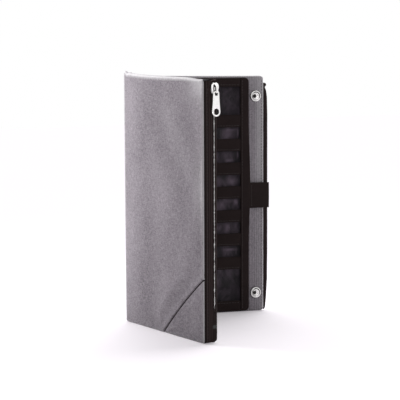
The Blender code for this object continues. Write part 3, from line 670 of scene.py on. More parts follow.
class Look:
    """The nodes of a material or a world, and the means to add to them."""

    def __init__(self, owner):
        self.owner = owner
        owner.use_nodes = True
        self.tree = owner.node_tree
        self.shader = self.tree.nodes.get("Principled BSDF")

    def put(self, place, value):
        """Links a value to a socket, or sets it there."""
        if isinstance(value, Socket):
            self.tree.links.new(value.socket, place)
        else:
            place.default_value = value

    def node(self, kind, settings=None, values=None, output=0):
        """Adds a node with its settings and the values or links of its sockets, and returns an output."""
        made = self.tree.nodes.new(kind)
        for key, value in (settings or {}).items():
            setattr(made, key, value)
        for key, value in (values or {}).items():
            self.put(made.inputs[key], value)
        return Socket(self, made.outputs[output])

    def coordinates(self, kind):
        return self.node("ShaderNodeTexCoord", output=kind)

    # Reads the vertex attribute that holds painted highlights and painted shade
    def painted_shading(self):
        return self.node("ShaderNodeAttribute", {"attribute_name": "painted_shading"}, output=2)

    def parts(self, vector):
        made = self.node("ShaderNodeSeparateXYZ", None, {0: vector})
        return [Socket(self, output) for output in made.socket.node.outputs]

    def scaled(self, vector, scale):
        return self.node("ShaderNodeMapping", None, {"Vector": vector, "Scale": scale})

    def noise(self, vector, scale, detail=3.0, rough=0.55):
        return self.node("ShaderNodeTexNoise", None,
                         {"Vector": vector, "Scale": scale, "Detail": detail, "Roughness": rough})

    def colours(self, share, low, high):
        """Mixes a fixed or changing colour with a fixed one."""
        low = low if isinstance(low, Socket) else (*low, 1.0)
        return self.node("ShaderNodeMix", {"data_type": "RGBA"}, {0: share, 6: low, 7: (*high, 1.0)}, 2)

    def bump(self, height, distance, strength):
        """A normal that follows a height, by a distance in millimetres."""
        return self.node("ShaderNodeBump", None, {"Height": height, "Distance": distance * MM, "Strength": strength})

    def finish(self, **sockets):
        """Sets the shader's sockets, whose names are written with underscores."""
        for name, value in sockets.items():
            self.put(self.shader.inputs[name.replace("_", " ")], value)
        return self.owner


def new_look(name, viewport):
    material = bpy.data.materials.new(name)
    material.diffuse_color = (*viewport, 1.0)
    return Look(material)


def for_slot(slot):
    """Makes each material once and gives it with its slot."""

    def remembered(maker):
        def made(name, *values):
            return bpy.data.materials.get(name) or maker(name, *values), slot

        return made

    return remembered


def times(colour, factor):
    return tuple(min(1.0, factor * channel) for channel in colour)


@for_slot("grey_cloth")
def grey_cloth(name, ribs=0.0, mix=0.5):
    """Heathered plain weave of mixed grey yarns; ribs adds upright ribs, mix is the pale yarns' share."""
    cloth = bpy.context.scene.wallet_cloth
    look = new_look(name, (0.3, 0.28, 0.3))
    here, flat = look.coordinates("Object"), look.coordinates("UV")
    u, v, _ = look.parts(flat)
    fibres = look.noise(here, 520.0, 4.0, 0.68)
    flecks = look.noise(here, 1300.0, 2.0, 0.6)
    pale = look.noise(here, 900.0, 1.0, 0.5).between(0.60, 0.72)
    blotches = look.noise(look.scaled(here, (1.0, 1.0, 0.5)), 24.0, 2.0, 0.5)
    warp = look.noise(look.scaled(flat, (1900.0, 190.0, 1.0)), 1.0, 2.0, 0.5)
    weft = look.noise(look.scaled(flat, (190.0, 1900.0, 1.0)), 1.0, 2.0, 0.5)
    tone = mix + fibres.swing(0.95) + flecks.swing(0.9) + 0.22 * (pale - 0.2)
    tone = tone + warp.swing(0.55) + weft.swing(0.55) + blotches.swing(0.60)
    height = 0.5 * (u.waves(0.62) * v.waves(0.62)) + 0.8 * flecks + 0.8 * fibres
    if ribs:
        rib = u.waves(2.3)
        tone = tone + 0.25 * ribs * rib
        height = height + 1.6 * ribs * rib
    colour = look.colours(tone.clamped(), cloth.dark_yarn, cloth.pale_yarn)
    # Painted highlight: the cloth turns to the highlight yarn where the painted-shading attribute is set
    highlighted = (look.painted_shading() * (0.92 + fibres.swing(0.5))).clamped()
    return look.finish(
        Base_Color=look.colours(highlighted, colour, cloth.highlight_yarn),
        Roughness=(0.86 + fibres.swing(0.2)).clamped(),
        Normal=look.bump(height, 0.12, 0.6),
        Sheen_Weight=0.35,
        Sheen_Roughness=0.45,
        Sheen_Tint=(0.9, 0.87, 0.9, 1.0),
        Specular_IOR_Level=0.25,
    )


@for_slot("black_tape")
def black_tape(name, across, pitch, tone=0.26):
    """Woven black tape with fine ribs and painted highlights where the painted-shading attribute is set; tone is its
    plain shade.
    """
    colour = bpy.context.scene.wallet_tape.tape_colour
    look = new_look(name, (0.03, 0.03, 0.03))
    here = look.coordinates("Object")
    u, v, _ = look.parts(look.coordinates("UV"))
    run, other = (v, u) if across == "v" else (u, v)
    rib, thread = run.waves(pitch), other.waves(0.45)
    fuzz = look.noise(here, 900.0, 3.0, 0.6)
    # Painted highlight where the painted-shading attribute is set
    crest = look.painted_shading()
    share = tone + 0.16 * rib + fuzz.swing(0.5) + look.noise(here, 70.0, 3.0, 0.55).swing(0.6) + 0.5 * crest
    plain = look.colours(share.clamped(), times(colour, 0.70), times(colour, 1.5))
    return look.finish(
        Base_Color=look.colours((crest * 0.7).clamped(), plain, times(colour, 2.4)),
        Roughness=(0.80 + fuzz.swing(0.3)).clamped(),
        Normal=look.bump(rib * 0.8 + thread * 0.25 + fuzz * 0.5, 0.11, 0.7),
        Sheen_Weight=0.03,
        Sheen_Roughness=0.5,
        Specular_IOR_Level=0.10,
    )


@for_slot("dark_lining")
def dark_nylon(name, creases):
    """Thin nylon with a soft shine, a fine square rip-stop grid and creases, with painted highlights and painted shade.
    """
    colour = bpy.context.scene.wallet_tape.nylon_colour
    look = new_look(name, (0.05, 0.05, 0.06))
    here = look.coordinates("Object")
    u, v, _ = look.parts(look.coordinates("UV"))
    folds = look.noise(look.scaled(here, (1.0, 1.0, 0.45)), 150.0, 3.0, 0.5)
    broad = look.noise(here, 55.0, 2.0, 0.5)
    fine = look.noise(here, 1300.0, 2.0, 0.5)
    grid = u.waves(0.42) * v.waves(0.42)
    ridge = 1.0 - ((folds - 0.5).absolute() * 8.0).clamped()
    # Painted highlights in broad random patches and along the creases' ridges
    share = 0.22 + broad.swing(1.3) + fine.swing(0.4) + creases * 0.5 * ridge * broad.between(0.42, 0.62)
    height = creases * (6.0 * folds + 4.0 * broad + 0.8 * ridge) + 0.35 * grid + 0.2 * fine
    # Painted highlight where the painted-shading attribute is positive, painted shade where it is negative
    painted_shading = look.painted_shading()
    crest = (painted_shading * (0.85 + broad.swing(0.9) + folds.swing(0.9) + fine.swing(0.4))).clamped()
    plain = look.colours(share.clamped(), times(colour, 0.55), times(colour, 3.4))
    shiny = look.colours(crest, plain, times(colour, 13.5))
    return look.finish(
        Base_Color=look.colours((painted_shading * -1.0).clamped(), shiny, times(colour, 0.35)),
        Roughness=(0.40 + broad.swing(0.6) + fine.swing(0.15)).clamped(),
        Normal=look.bump(height, 0.30, 0.9),
        Specular_IOR_Level=0.28,
    )


@for_slot("black_tape")
def sewing_thread(name, colour):
    """Twisted thread with a fine spiral of lighter strands."""
    look = new_look(name, colour)
    here = look.coordinates("Object")
    x, y, z = look.parts(here)
    twist = (x + y + z).waves(0.5)
    fuzz = look.noise(here, 2200.0, 2.0, 0.6)
    share = 0.5 + 0.3 * twist + fuzz.swing(0.6)
    return look.finish(
        Base_Color=look.colours(share.clamped(), times(colour, 0.65), times(colour, 1.35)),
        Roughness=(0.6 + fuzz.swing(0.2)).clamped(),
        Normal=look.bump(twist, 0.04, 0.6),
        Sheen_Weight=0.2,
    )


@for_slot("bright_metal")
def nickel_plate(name, roughness=None, tone=1.0):
    """Bright nickel with faint clouds of handling and hair scratches, and painted shade and dark reflections in its
    hollows.
    """
    metal = bpy.context.scene.wallet_metal
    look = new_look(name, (0.8, 0.8, 0.8))
    here = look.coordinates("Object")
    clouds = look.noise(here, 260.0, 4.0, 0.6)
    hairs = look.noise(look.scaled(here, (6.0, 6.0, 0.6)), 900.0, 2.0, 0.5)
    shade_and_dark_reflection = look.painted_shading()
    low, high = times(metal.nickel, 0.86 * tone), times(metal.nickel, 1.08 * tone)
    plain = look.colours((0.5 + clouds.swing(1.2)).clamped(), low, high)
    rough = (roughness or metal.polish) + 0.3 * shade_and_dark_reflection + clouds.swing(0.25) + hairs.swing(0.12)
    return look.finish(
        # Painted shade and painted dark reflections
        Base_Color=look.colours((shade_and_dark_reflection * (1.0 + clouds.swing(0.4))).clamped(), plain, (0.030, 0.028, 0.027)),
        Metallic=1.0,
        Roughness=rough.most(0.05),
        Normal=look.bump(hairs, 0.015, 0.35),
    )


@for_slot("grey_board")
def stiffener_board(name):
    """Pressed grey board with short pale and dark fibres."""
    look = new_look(name, (0.25, 0.24, 0.22))
    here = look.coordinates("Object")
    fibre = look.noise(look.scaled(here, (1.0, 1.0, 0.25)), 1400.0, 3.0, 0.6)
    share = 0.5 + fibre.swing(1.2) + look.noise(here, 90.0, 3.0, 0.5).swing(0.8)
    return look.finish(
        Base_Color=look.colours(share.clamped(), (0.16, 0.15, 0.135), (0.34, 0.325, 0.29)),
        Roughness=(0.82 + fibre.swing(0.2)).clamped(),
        Normal=look.bump(fibre, 0.08, 0.5),
    )


# Looks that several pieces share, by their values
MELANGE = ("grey_melange",)
ZIP_TAPE = ("zip_tape_weave", "v", 0.8, 0.04)
BLACK_THREAD = ("black_thread", (0.034, 0.025, 0.025))
BAND_TAPE = ("band_weave", "v", 0.75)
POCKET_NYLON = ("pocket_front_nylon", 1.0)
LINING_NYLON = ("pocket_nylon", 0.6)


def cover_rim_distance(x, z, width=WIDTH):
    """Distance of a place on a cover to its rounded outline at the top, the foot and the free edge."""
    dx, dz = width - x, np.minimum(z, HEIGHT - z)
    round_part = CORNER - np.hypot(CORNER - dx, CORNER - dz)
    return np.where((dx < CORNER) & (dz < CORNER), round_part, np.minimum(dx, dz))


def corner_drop(x):
    """How far a cover's outline has drawn in at the corner of its free edge."""
    return rolled(WIDTH - x, CORNER)


def tuck_at(x):
    """How far a cover's cloth turns in at the top and the foot: less beside the free edge."""
    return 1 - smooth(x, WIDTH - 4, 3)


def seam_circle():
    """Centre and radius of the corner patch's seam."""
    foot, head = np.array([WIDTH - PATCH_LENGTH, 0.0]), np.array([WIDTH, PATCH_HEIGHT])
    chord = head - foot
    radius = (chord @ chord / 4 + PATCH_SAGITTA**2) / (2 * PATCH_SAGITTA)
    outward = unit(np.array([-chord[1], chord[0]]))
    return (foot + head) / 2 - outward * (radius - PATCH_SAGITTA), radius


SEAM_CENTRE, SEAM_RADIUS = seam_circle()


def seam_height(x, offset):
    reach = (SEAM_RADIUS + offset) ** 2 - (x - SEAM_CENTRE[0]) ** 2
    return SEAM_CENTRE[1] + np.sqrt(np.maximum(reach, 0.0))


def seam_distance(x, z, offset):
    return np.hypot(x - SEAM_CENTRE[0], z - SEAM_CENTRE[1]) - SEAM_RADIUS - offset


def cloth_rows(low, high, radius, count, tuck_low, tuck_high):
    """Rows of a cover's cloth, with two more at each end where it turns in: heights and added depths."""
    heights = rows_between(low, high, rim_steps(radius), count)
    first = np.stack([low + 0.35 * (tuck_low > 0), low])
    last = np.stack([high, high - 0.35 * (tuck_high > 0)])
    deep = np.array([[1.0], [0.6]])
    return (
        np.concatenate([first, heights, last]),
        np.concatenate([deep * tuck_low, 0 * heights, deep[::-1] * tuck_high]),
    )


def hem_radius_at(x, radius):
    """Radius of the hem, which is tighter on the free edge."""
    return FREE_HEM + (radius - FREE_HEM) * smooth(WIDTH - x, 1, 4)


def hem_seam(x):
    """The stitched channel beside a cover's free edge."""
    return groove(WIDTH - x - 2.4, 1.1, 0.22)


def hem_highlight(rim, radius, x, z):
    """Painted highlight along a turned hem: most at the top and its free corner, least at the foot."""
    raised, top = smooth(z, 20, 190), smooth(z, HEIGHT - 8, 4)
    reach = np.where(x > WIDTH - 5, 0.55, 1.0) * radius
    turned_over = 1 - smooth(rim, (0.25 + 0.60 * top) * reach, (0.6 - 0.25 * top) * reach)
    amount = np.where(x > WIDTH - 5, 0.85 + 0.15 * raised, 0.50 + 0.50 * raised)
    amount = amount * (0.45 + 0.55 * smooth(rim / (0.32 * reach)))
    # Painted highlights on the top corner by the free edge, along the bend and on the bowed free edge
    corner = 0.74 * bell(WIDTH - x - 2, 15) * bell(HEIGHT - z, 17)
    bent = 0.30 * bell(x - 0.4, 1.6)
    bowed = 0.42 * bell(WIDTH - x, 10) * bell(z - 134, 27)
    return np.maximum.reduce([turned_over * amount, corner, bent, bowed])


def hem_lift(s, x, patched):
    """How far the top hem stands above the board: ears at the bend and a slow rise towards the spine."""
    past = np.maximum(s, 0.0)
    lift = 1.7 * np.exp(-past / 48) + 1.9 * np.exp(-past / 20)
    lift = 2.6 * bell(s - 1.2, 1.9) + 0.9 * bell(s + 8.2, 1.6) + lift * smooth((WIDTH - x) / 60)
    if patched:
        return lift + 1.6 * smooth(past / 9) * smooth((WIDTH - 3 - x) / 26)
    return lift * (0.55 + 0.45 * smooth(-s / 8))


def drawn_fold(x, z, full):
    """The soft fold across the front cover's upper half: its rise and the painted highlight on its crest."""
    off_fold = 0.797 * (x - 60) + 0.603 * (z - 195)
    on_fold = 0.603 * (x - 60) - 0.797 * (z - 195)
    run = smooth(on_fold, -18, 30) * (1 - smooth(on_fold, 72, 40)) * full
    wave = np.cos(2 * math.pi * (off_fold - 20) / 52) * bell(off_fold - 6, 30)
    puffed = 1 - smooth(0.90 * (x - 46) + 0.43 * (z - 205), -15, 30)
    return 1.5 * full * puffed + 0.9 * wave * run, 0.055 * run * bell(off_fold - 9, 15)


def outer_cloth(name, bend, patched):
    """The cloth of one cover with half the spine's, round the bend between them and in over the board's edges."""
    cloth = bpy.context.scene.wallet_cloth
    radius = cloth.hem_radius / MM
    start = -bend.length(SPINE_WIDTH / 2)
    s = np.concatenate([
        spread(start, -bend.bend, 1.6)[:-1],
        np.linspace(-bend.bend, bend.bend, 9)[:-1],
        with_rims(bend.bend, bend.length(WIDTH), [], rim_steps(radius), 1.9),
    ])
    x = np.where(s > bend.bend, bend.cover_x(s), s)
    drop = np.where(x > 0, corner_drop(x), 0.0)
    lift = hem_lift(s, x, patched)
    high, low, seamed = HEIGHT - drop + lift, drop, 0.0
    if patched:
        low = np.where(x > WIDTH - PATCH_LENGTH, np.maximum(seam_height(x, SEAM_GAP / 2), 0.0), 0.0)
        seamed = smooth(low, 0.4, 2.0)
    tuck = TUCK * tuck_at(x)
    z, deep = cloth_rows(low, high, radius, 104, tuck * (1 - 0.45 * seamed), tuck)
    x, s = (np.broadcast_to(value, z.shape) for value in (x, s))
    on_cover = x > 0
    rim = np.where(on_cover, cover_rim_distance(x, z), np.minimum(z, HEIGHT - z))
    rim = np.maximum(np.where(z > HEIGHT / 2, np.minimum(rim + lift, high - z), rim), 0.0)
    hem = hem_radius_at(x, radius)
    depth, inner = OUTER_FACE + deep + rolled(rim, hem), rim

    # The cloth rolls down to the patch's seam and stands up a little before it
    if patched:
        to_seam = np.where(x > WIDTH - PATCH_LENGTH - 1, seam_distance(x, z, SEAM_GAP / 2), FAR)
        to_seam = np.maximum(to_seam, 0.0)
        sunk = np.minimum(depth + rolled(to_seam, SEAM_ROLL), OUTER_FACE + np.maximum(hem, SEAM_ROLL) + deep)
        depth = np.where(to_seam < 20, sunk, depth) - 0.16 * bell(to_seam - 2.6, 1.6)
        inner = np.minimum(rim, 0.42 * to_seam + 1.2)

    # Crown, folds and unevenness, which fade at the hems, the seam and the bend
    flat = smooth(inner, radius, 7)
    from_bend = np.abs(s) - 2.5
    full = eased(rim - radius, 30) * flat * eased(from_bend, 32)
    depth = depth - cloth.crown / MM * full
    # Painted highlights along the hems and on the fold's crest
    painted_shading = hem_highlight(rim, radius, x, z)
    if patched:
        rise, pale = drawn_fold(x, z, full)
        depth, painted_shading = depth - rise, np.maximum(painted_shading, pale)
    uneven = swells(x, 0.45 * z, 52, 11) + 0.22 * swells(x, 0.7 * z, 17, 5)
    near_bend = smooth(np.where(on_cover, from_bend, 0.0) / 16)
    depth = depth + cloth.swell / MM * uneven * flat * near_bend

    # The stitched channel at the free edge with the ridge outside it, and the crease on both sides of the bend
    depth = depth + hem_seam(x) * smooth(z - low, 1, 2) * on_cover
    depth = depth - groove(WIDTH - x - 1.3, 1.0, 0.10) * smooth(rim / 0.6) * on_cover
    depth = depth + groove(np.abs(s) - 3.4, 1.6, 0.12) * smooth(rim / 1.5)
    chart = np.stack([s - start, z + 0.3 * deep], axis=-1)
    return cloth_over(name, bend.at(s, depth, z), cloth.thickness / MM, -bend.cover.inward, chart, painted_shading)


class WALLET_OT_front_cloth(bpy.types.Operator):
    """Outer cloth of the front cover and the near half of the spine."""

    bl_idname = "wallet.front_cloth"
    bl_label = "Front Cloth"

    def execute(self, context):
        obj = outer_cloth("front_cloth", FRONT_BEND, True)
        dress(obj, grey_cloth(*MELANGE), FRONT_BEND.bodies(4), "front_outer_panel", "spine_outer_panel")
        return {"FINISHED"}


class WALLET_OT_back_cloth(bpy.types.Operator):
    """Outer cloth of the back cover and the far half of the spine."""

    bl_idname = "wallet.back_cloth"
    bl_label = "Back Cloth"

    def execute(self, context):
        obj = outer_cloth("back_cloth", BACK_BEND, False)
        dress(obj, grey_cloth(*MELANGE), BACK_BEND.bodies(4), "back_outer_panel")
        return {"FINISHED"}


class WALLET_OT_corner_patch(bpy.types.Operator):
    """Corner patch of the front cover and the dark tape under its seam, which stands in for the shadow in the seam's
    gap.
    """

    bl_idname = "wallet.corner_patch"
    bl_label = "Corner Patch"

    def execute(self, context):
        cloth = context.scene.wallet_cloth
        radius = cloth.hem_radius / MM
        x = with_rims(WIDTH - PATCH_LENGTH + 2.2, WIDTH, [], rim_steps(radius), 1.5)
        tuck = TUCK * tuck_at(x)
        z, deep = cloth_rows(corner_drop(x), seam_height(x, -SEAM_GAP / 2), radius, 34, tuck, 0.5 * tuck)
        x = np.broadcast_to(x, z.shape)
        rim = np.maximum(cover_rim_distance(x, z), 0.0)
        to_seam = np.maximum(-seam_distance(x, z, -SEAM_GAP / 2), 0.0)
        flat = smooth(np.minimum(rim, to_seam), radius, 6)
        depth = OUTER_FACE + deep + np.maximum(rolled(rim, hem_radius_at(x, radius)), rolled(to_seam, SEAM_ROLL))
        depth = depth - 0.35 * cloth.crown / MM * flat + 0.8 * cloth.swell / MM * flat * swells(x, z, 30, 23)
        depth = depth + hem_seam(x) * smooth(z, 2, 2)
        chart = np.stack([x, z + 0.3 * deep], axis=-1)
        obj = cloth_over("corner_patch", FRONT.at(x, depth, z), cloth.thickness / MM, -FRONT.inward, chart,
                         hem_highlight(rim, radius, x, z))
        dress(obj, grey_cloth("patch_melange", 0.0, 0.42), "front_cover", "front_corner_patch")
        self.seam_shadow_tape(1.9, 70)
        return {"FINISHED"}

    def seam_shadow_tape(self, half, steps):
        # A dark tape under the seam's gap, which stands in for the shadow there
        low_turn = math.pi - math.asin((0.9 - SEAM_CENTRE[1]) / SEAM_RADIUS)
        high_turn = math.acos((WIDTH - 1.2 - SEAM_CENTRE[0]) / SEAM_RADIUS)
        turns = np.linspace(low_turn, high_turn, steps)[:, None]
        offsets = np.linspace(-half, half, 7)
        x = SEAM_CENTRE[0] + (SEAM_RADIUS + offsets) * np.cos(turns)
        z = SEAM_CENTRE[1] + (SEAM_RADIUS + offsets) * np.sin(turns)
        bulge = 0.20 * np.cos(offsets / half * math.pi / 2)
        ripple = 0.04 * np.sin(np.arange(steps) * 1.9)[:, None]
        tape = cloth_over("seam_shadow_tape", FRONT.at(x, 0.50 - bulge + ripple, np.maximum(z, 0.6)), 0.25, -FRONT.inward)
        dress(tape, black_tape("seam_tape_weave", "v", 0.6), "front_cover")


class WALLET_OT_back_facing(bpy.types.Operator):
    """Ribbed grey facing on the inner side of the back cover, with its stitched free edge."""

    bl_idname = "wallet.back_facing"
    bl_label = "Back Facing"

    def execute(self, context):
        radius, start, inset, edge = 1.0, 6.2, 0.1, WIDTH - 2.0
        x = with_rims(start, WIDTH - inset, [], rim_steps(radius), 1.8)
        low = corner_drop(x) + inset
        z = np.pad(rows_between(low, HEIGHT - low, rim_steps(radius), 96), ((1, 1), (0, 0)), "edge")
        turned_in = np.zeros_like(z)
        turned_in[[0, -1]] = 0.8 * tuck_at(x)
        x = np.broadcast_to(x, z.shape)
        rim = np.maximum(cover_rim_distance(x, z, WIDTH - inset) - inset, 0.0)
        uneven = swells(x, z, 34, 31) + 0.5 * swells(x, 0.6 * z, 9, 32)
        depth = FACING_FACE - rolled(rim, radius) - turned_in
        depth = depth + 0.10 * uneven * smooth(rim, radius, 3) * smooth(x, WIDTH - 15, 4)
        for node in ("snap_socket_upper", "snap_socket_lower"):
            away = np.hypot(x - (WIDTH - SNAP_INSET), z - BACK.extent(node)[:, 2].mean())
            depth = depth - 0.16 * bell(away, 5.2)
        depth = depth - groove(edge - x, 1.0, 0.16) * smooth(rim)
        # Painted highlight: paler towards the free edge and the top, with half of the hems' painted highlight
        lit = 0.42 * smooth(x, WIDTH - 10, 5.5) * (0.3 + 0.7 * smooth(z, 90, 60))
        obj = cloth_over("back_facing", BACK.at(x, depth, z), context.scene.wallet_cloth.thickness / MM, BACK.inward,
                         np.stack([x, z], axis=-1), np.maximum(0.5 * hem_highlight(rim, radius, x, z), lit))
        dress(obj, grey_cloth("ribbed_grey", 0.55, 0.64), "back_cover", "back_inner_facing")
        thread, _ = sewing_thread("dark_grey_thread", (0.055, 0.05, 0.055))
        face = FACING_FACE - 0.14
        sew("facing_stitches", BACK, (edge, face, 3.5), (edge, face, HEIGHT - 3.5), (thread, "grey_cloth"))
        return {"FINISHED"}


class WALLET_OT_pocket(bpy.types.Operator):
    """Lining of the zipped pocket: a soft tray behind the front cover and the layer on its board."""

    bl_idname = "wallet.pocket"
    bl_label = "Zipped Pocket"

    def execute(self, context):
        left, right = FRONT.extent("front_pocket_shell")[:, 0]
        radius, drop, wall = 3.6, 0.35, np.array([6.2, 3.0])
        x = with_rims(left, right, rim_steps(radius), [], 2.2)
        low = drop + rolled(x - left, radius)
        z = np.pad(rows_between(low, HEIGHT - low, rim_steps(radius), 72), ((2, 2), (2, 0)), "edge")

        # The tray's walls are the repeated outermost rows and columns, sunk towards the board
        sink, side = np.zeros((len(z), 1)), np.zeros(len(x) + 2)
        sink[:2, 0], sink[-2:, 0], side[:2] = wall, wall[::-1], wall
        x = np.broadcast_to(np.pad(x, (2, 0), "edge"), z.shape)
        dx, dz = x - left, np.minimum(z - drop, HEIGHT - drop - z)
        inner = radius - np.hypot(np.maximum(radius - dx, 0.0), np.maximum(radius - dz, 0.0))
        rim = np.maximum(np.where((dx < radius) & (dz < radius), inner, np.minimum(dx, dz)), 0.0)
        flat = smooth(rim, radius, 9) * smooth((right - x) / 16)
        uneven = swells(x, z, 58, 41) + 0.3 * swells(x, z, 15, 42)
        depth = POCKET_FACE - rolled(rim, radius) - np.maximum(sink, side) - flat * (0.30 + 0.16 * uneven)
        chart = np.stack([x - side, z + np.sign(z - HEIGHT / 2) * sink], axis=-1)
        obj = cloth_over("pocket_lining", FRONT.at(x, depth, z), 0.6, FRONT.inward, chart, angle=60.0)
        dress(obj, dark_nylon(*LINING_NYLON), "front_cover", "front_pocket_shell")

        low, high = FRONT.extent("front_pocket_lining")
        x, z = np.meshgrid(spread(low[0], high[0], 3.5), spread(low[2], high[2], 3.5))
        depth = OVER_BOARD + 0.42 + 0.05 * swells(x, z, 30, 44)
        back = cloth_over("pocket_board_lining", FRONT.at(x, depth, z), 0.3, FRONT.inward)
        dress(back, dark_nylon(*LINING_NYLON), "front_cover", "front_pocket_lining")
        return {"FINISHED"}


class WALLET_OT_slip_pocket(bpy.types.Operator):
    """Open slip pocket on the inner side of the front cover, with its ribbed band."""

    bl_idname = "wallet.slip_pocket"
    bl_label = "Slip Pocket"

    def execute(self, context):
        (left, _, foot), (right, face, top) = FRONT.extent("slip_pocket")
        x, z = np.meshgrid(spread(left, right, 2.2), spread(foot, top, 2.4))
        rim = np.minimum.reduce([x - left, right - x, z - foot])
        belly = 0.8 * smooth(rim / 14) * smooth((top - z) / 10)
        uneven = swells(x, z, 40, 51) + 0.35 * swells(x, z, 13, 52)
        depth = face - 0.50 + 0.45 * smooth(rim / 3) + belly * (0.22 + 0.13 * uneven)
        obj = cloth_over("slip_pocket_cloth", FRONT.at(x, depth, z), 0.35, FRONT.inward)
        dress(obj, dark_nylon("slip_nylon", 0.8), "front_cover", "slip_pocket")

        (_, _, hem), (_, outer, _) = FRONT.extent("slip_pocket_band")
        path = smooth_path(
            [(face + 0.28, hem), (outer, hem + 0.6), (outer, top - 1.2), (face + 0.38, top + 0.25),
             (face - 0.65, top + 0.2), (face - 0.75, top - 1.0)],
            18,
        )
        points = FRONT.at(spread(left, right, 2.5), path[:, :1], path[:, 1:])
        ribbon = cloth_over("slip_pocket_ribbon", points, 0.3, FRONT.inward, angle=70.0)
        dress(ribbon, black_tape(*BAND_TAPE), "front_cover", "slip_pocket_band")
        seam, face = 1.4, face - 0.1
        sew("slip_band_stitches", FRONT, (left + 1, outer, hem + 1.6), (right - 1, outer, hem + 1.6))
        for name, x in (("slip_fold_stitches", left + seam), ("slip_edge_stitches", right - seam)):
            sew(name, FRONT, (x, face, foot + 2), (x, face, hem - 1))
        sew("slip_foot_stitches", FRONT, (left + 3, face, foot + seam), (right - 3, face, foot + seam))
        return {"FINISHED"}


class WALLET_OT_zip_tapes(bpy.types.Operator):
    """The two woven tapes of the zip, from under the cloth to the slit over the teeth."""

    bl_idname = "wallet.zip_tapes"
    bl_label = "Zip Tapes"

    def execute(self, context):
        slit = context.scene.wallet_tape.slit / MM
        foot, top = FRONT.extent("zip_tape_outer")[:, 2]

        # Stations by x and depth: first from the cover's free edge, then from the chain's middle up to the slit
        lip = [(0.85, 1.75), (0.95, 1.2), (0.93, slit)]
        outer = shifted([(-5.2, 1.25), (-2.4, 1.25), (-0.5, 1.35), (1.0, 2.1), (1.75, 3.3), (2.2, 4.6)], WIDTH, 0)
        inner = shifted([(-15, 0), (-7, 0), (-3.2, 0.05), (-1.4, 1.05), (0.2, 1.05), (1.3, 0.75)], WIDTH, TAPE_FLAT)
        outer_lip = [(x, -depth) for x, depth in [(0.05, 2.75), (0.35, 2.25), *lip]]
        inner_lip = [(0.1, 2.75), (0.4, 2.25), *lip]
        share = spread(0.0, 1.0, 1.5 / (top - foot))[:, None]
        for side, stations, ends, crests, toward in (
            ("outer", outer, outer_lip, (2.3, 4.2, 6.3), 1.0),
            ("inner", inner, inner_lip, (2.4, 4.3), -1.0),
        ):
            path = smooth_path(stations + shifted(ends, CHAIN_X, CHAIN_DEPTH), 46)
            along = run_of(path)
            from_slit = along[-1] - along
            low = foot + rolled(np.maximum(TAPE_BACK - path[:, 1], 0.05), FOOT_ROUND)
            z = low + share * (top - low)
            ribs = sum(groove(from_slit - crest, 0.75, 1.0) for crest in crests)
            free = smooth(from_slit, 1.2, 1.0)

            # The tape waves, stands out at its ribs, frays at the slit and closes over the foot of the chain
            shift = (0.07 * swells(z, 0 * z, 11, 75) + 0.24 * (ribs - 0.35)) * free
            closing = (slit - 0.05) * smooth((32 - z) / 5) * smooth((1.6 - from_slit) / 1.2)
            frayed = 0.13 * swells(z, 0 * z, 3.6, 185) * smooth(1 - from_slit)
            moved = path + shift[..., None] * sides_of(path, np.array([1.0, 0.25]))
            points = FRONT.at(moved[..., 0], moved[..., 1] + (closing + frayed) * toward, z)
            chart = np.stack([np.broadcast_to(along, z.shape), z], axis=-1)
            # Painted highlights on the ribs' crests
            obj = cloth_over(f"zip_tape_web_{side}", points, 0.34, (1.0, 0.05), chart, 0.95 * ribs * free, 70.0)
            dress(obj, black_tape(*ZIP_TAPE), "front_cover", f"zip_tape_{side}")
        for side, x, depth, out in (("outer", WIDTH + 1.62, 2.9, (0.93, -0.35, 0.0)),
                                    ("inner", WIDTH - 6.0, TAPE_FLAT + 0.05, None)):
            sew(f"zip_{side}_stitches", FRONT, (x, depth, foot + 3), (x, depth, top - 3), out=out)
        return {"FINISHED"}


class WALLET_OT_zip_chain(bpy.types.Operator):
    """Two rows of meshing teeth, each one tooth modelled and set out as an array."""

    bl_idname = "wallet.zip_chain"
    bl_label = "Zip Chain"

    def execute(self, context):
        pitch = 2.5
        count = int((CHAIN_HEAD - CHAIN_FOOT) / pitch - 0.5)
        half = [(-2.05, 0.62), (-1.1, 0.66), (-0.55, 0.62), (-0.15, 0.98), (0.35, 1.06), (0.70, 0.86), (0.85, 0.45)]
        outline = [(a, -b) for a, b in half] + [(0.78, 0.0)] + half[::-1]
        for row, side, shift in (("outer", -1, 0.5), ("inner", 1, 1.0)):
            loop = [(-side * a, b) for a, b in outline]
            tooth = plate_from(f"zip_tooth_row_{row}", [loop], 1.35, 0.14, 1)
            stood(tooth, FRONT.at(CHAIN_X - 0.15, CHAIN_DEPTH, CHAIN_FOOT + shift * pitch), ON_EDGE)
            shade(in_a_row(tooth, count, (0.0, 0.0, pitch * MM)), 40.0)
            dress(tooth, nickel_plate("tooth_metal", 0.34, 0.95), "front_cover", f"zip_teeth_{row}")
        return {"FINISHED"}


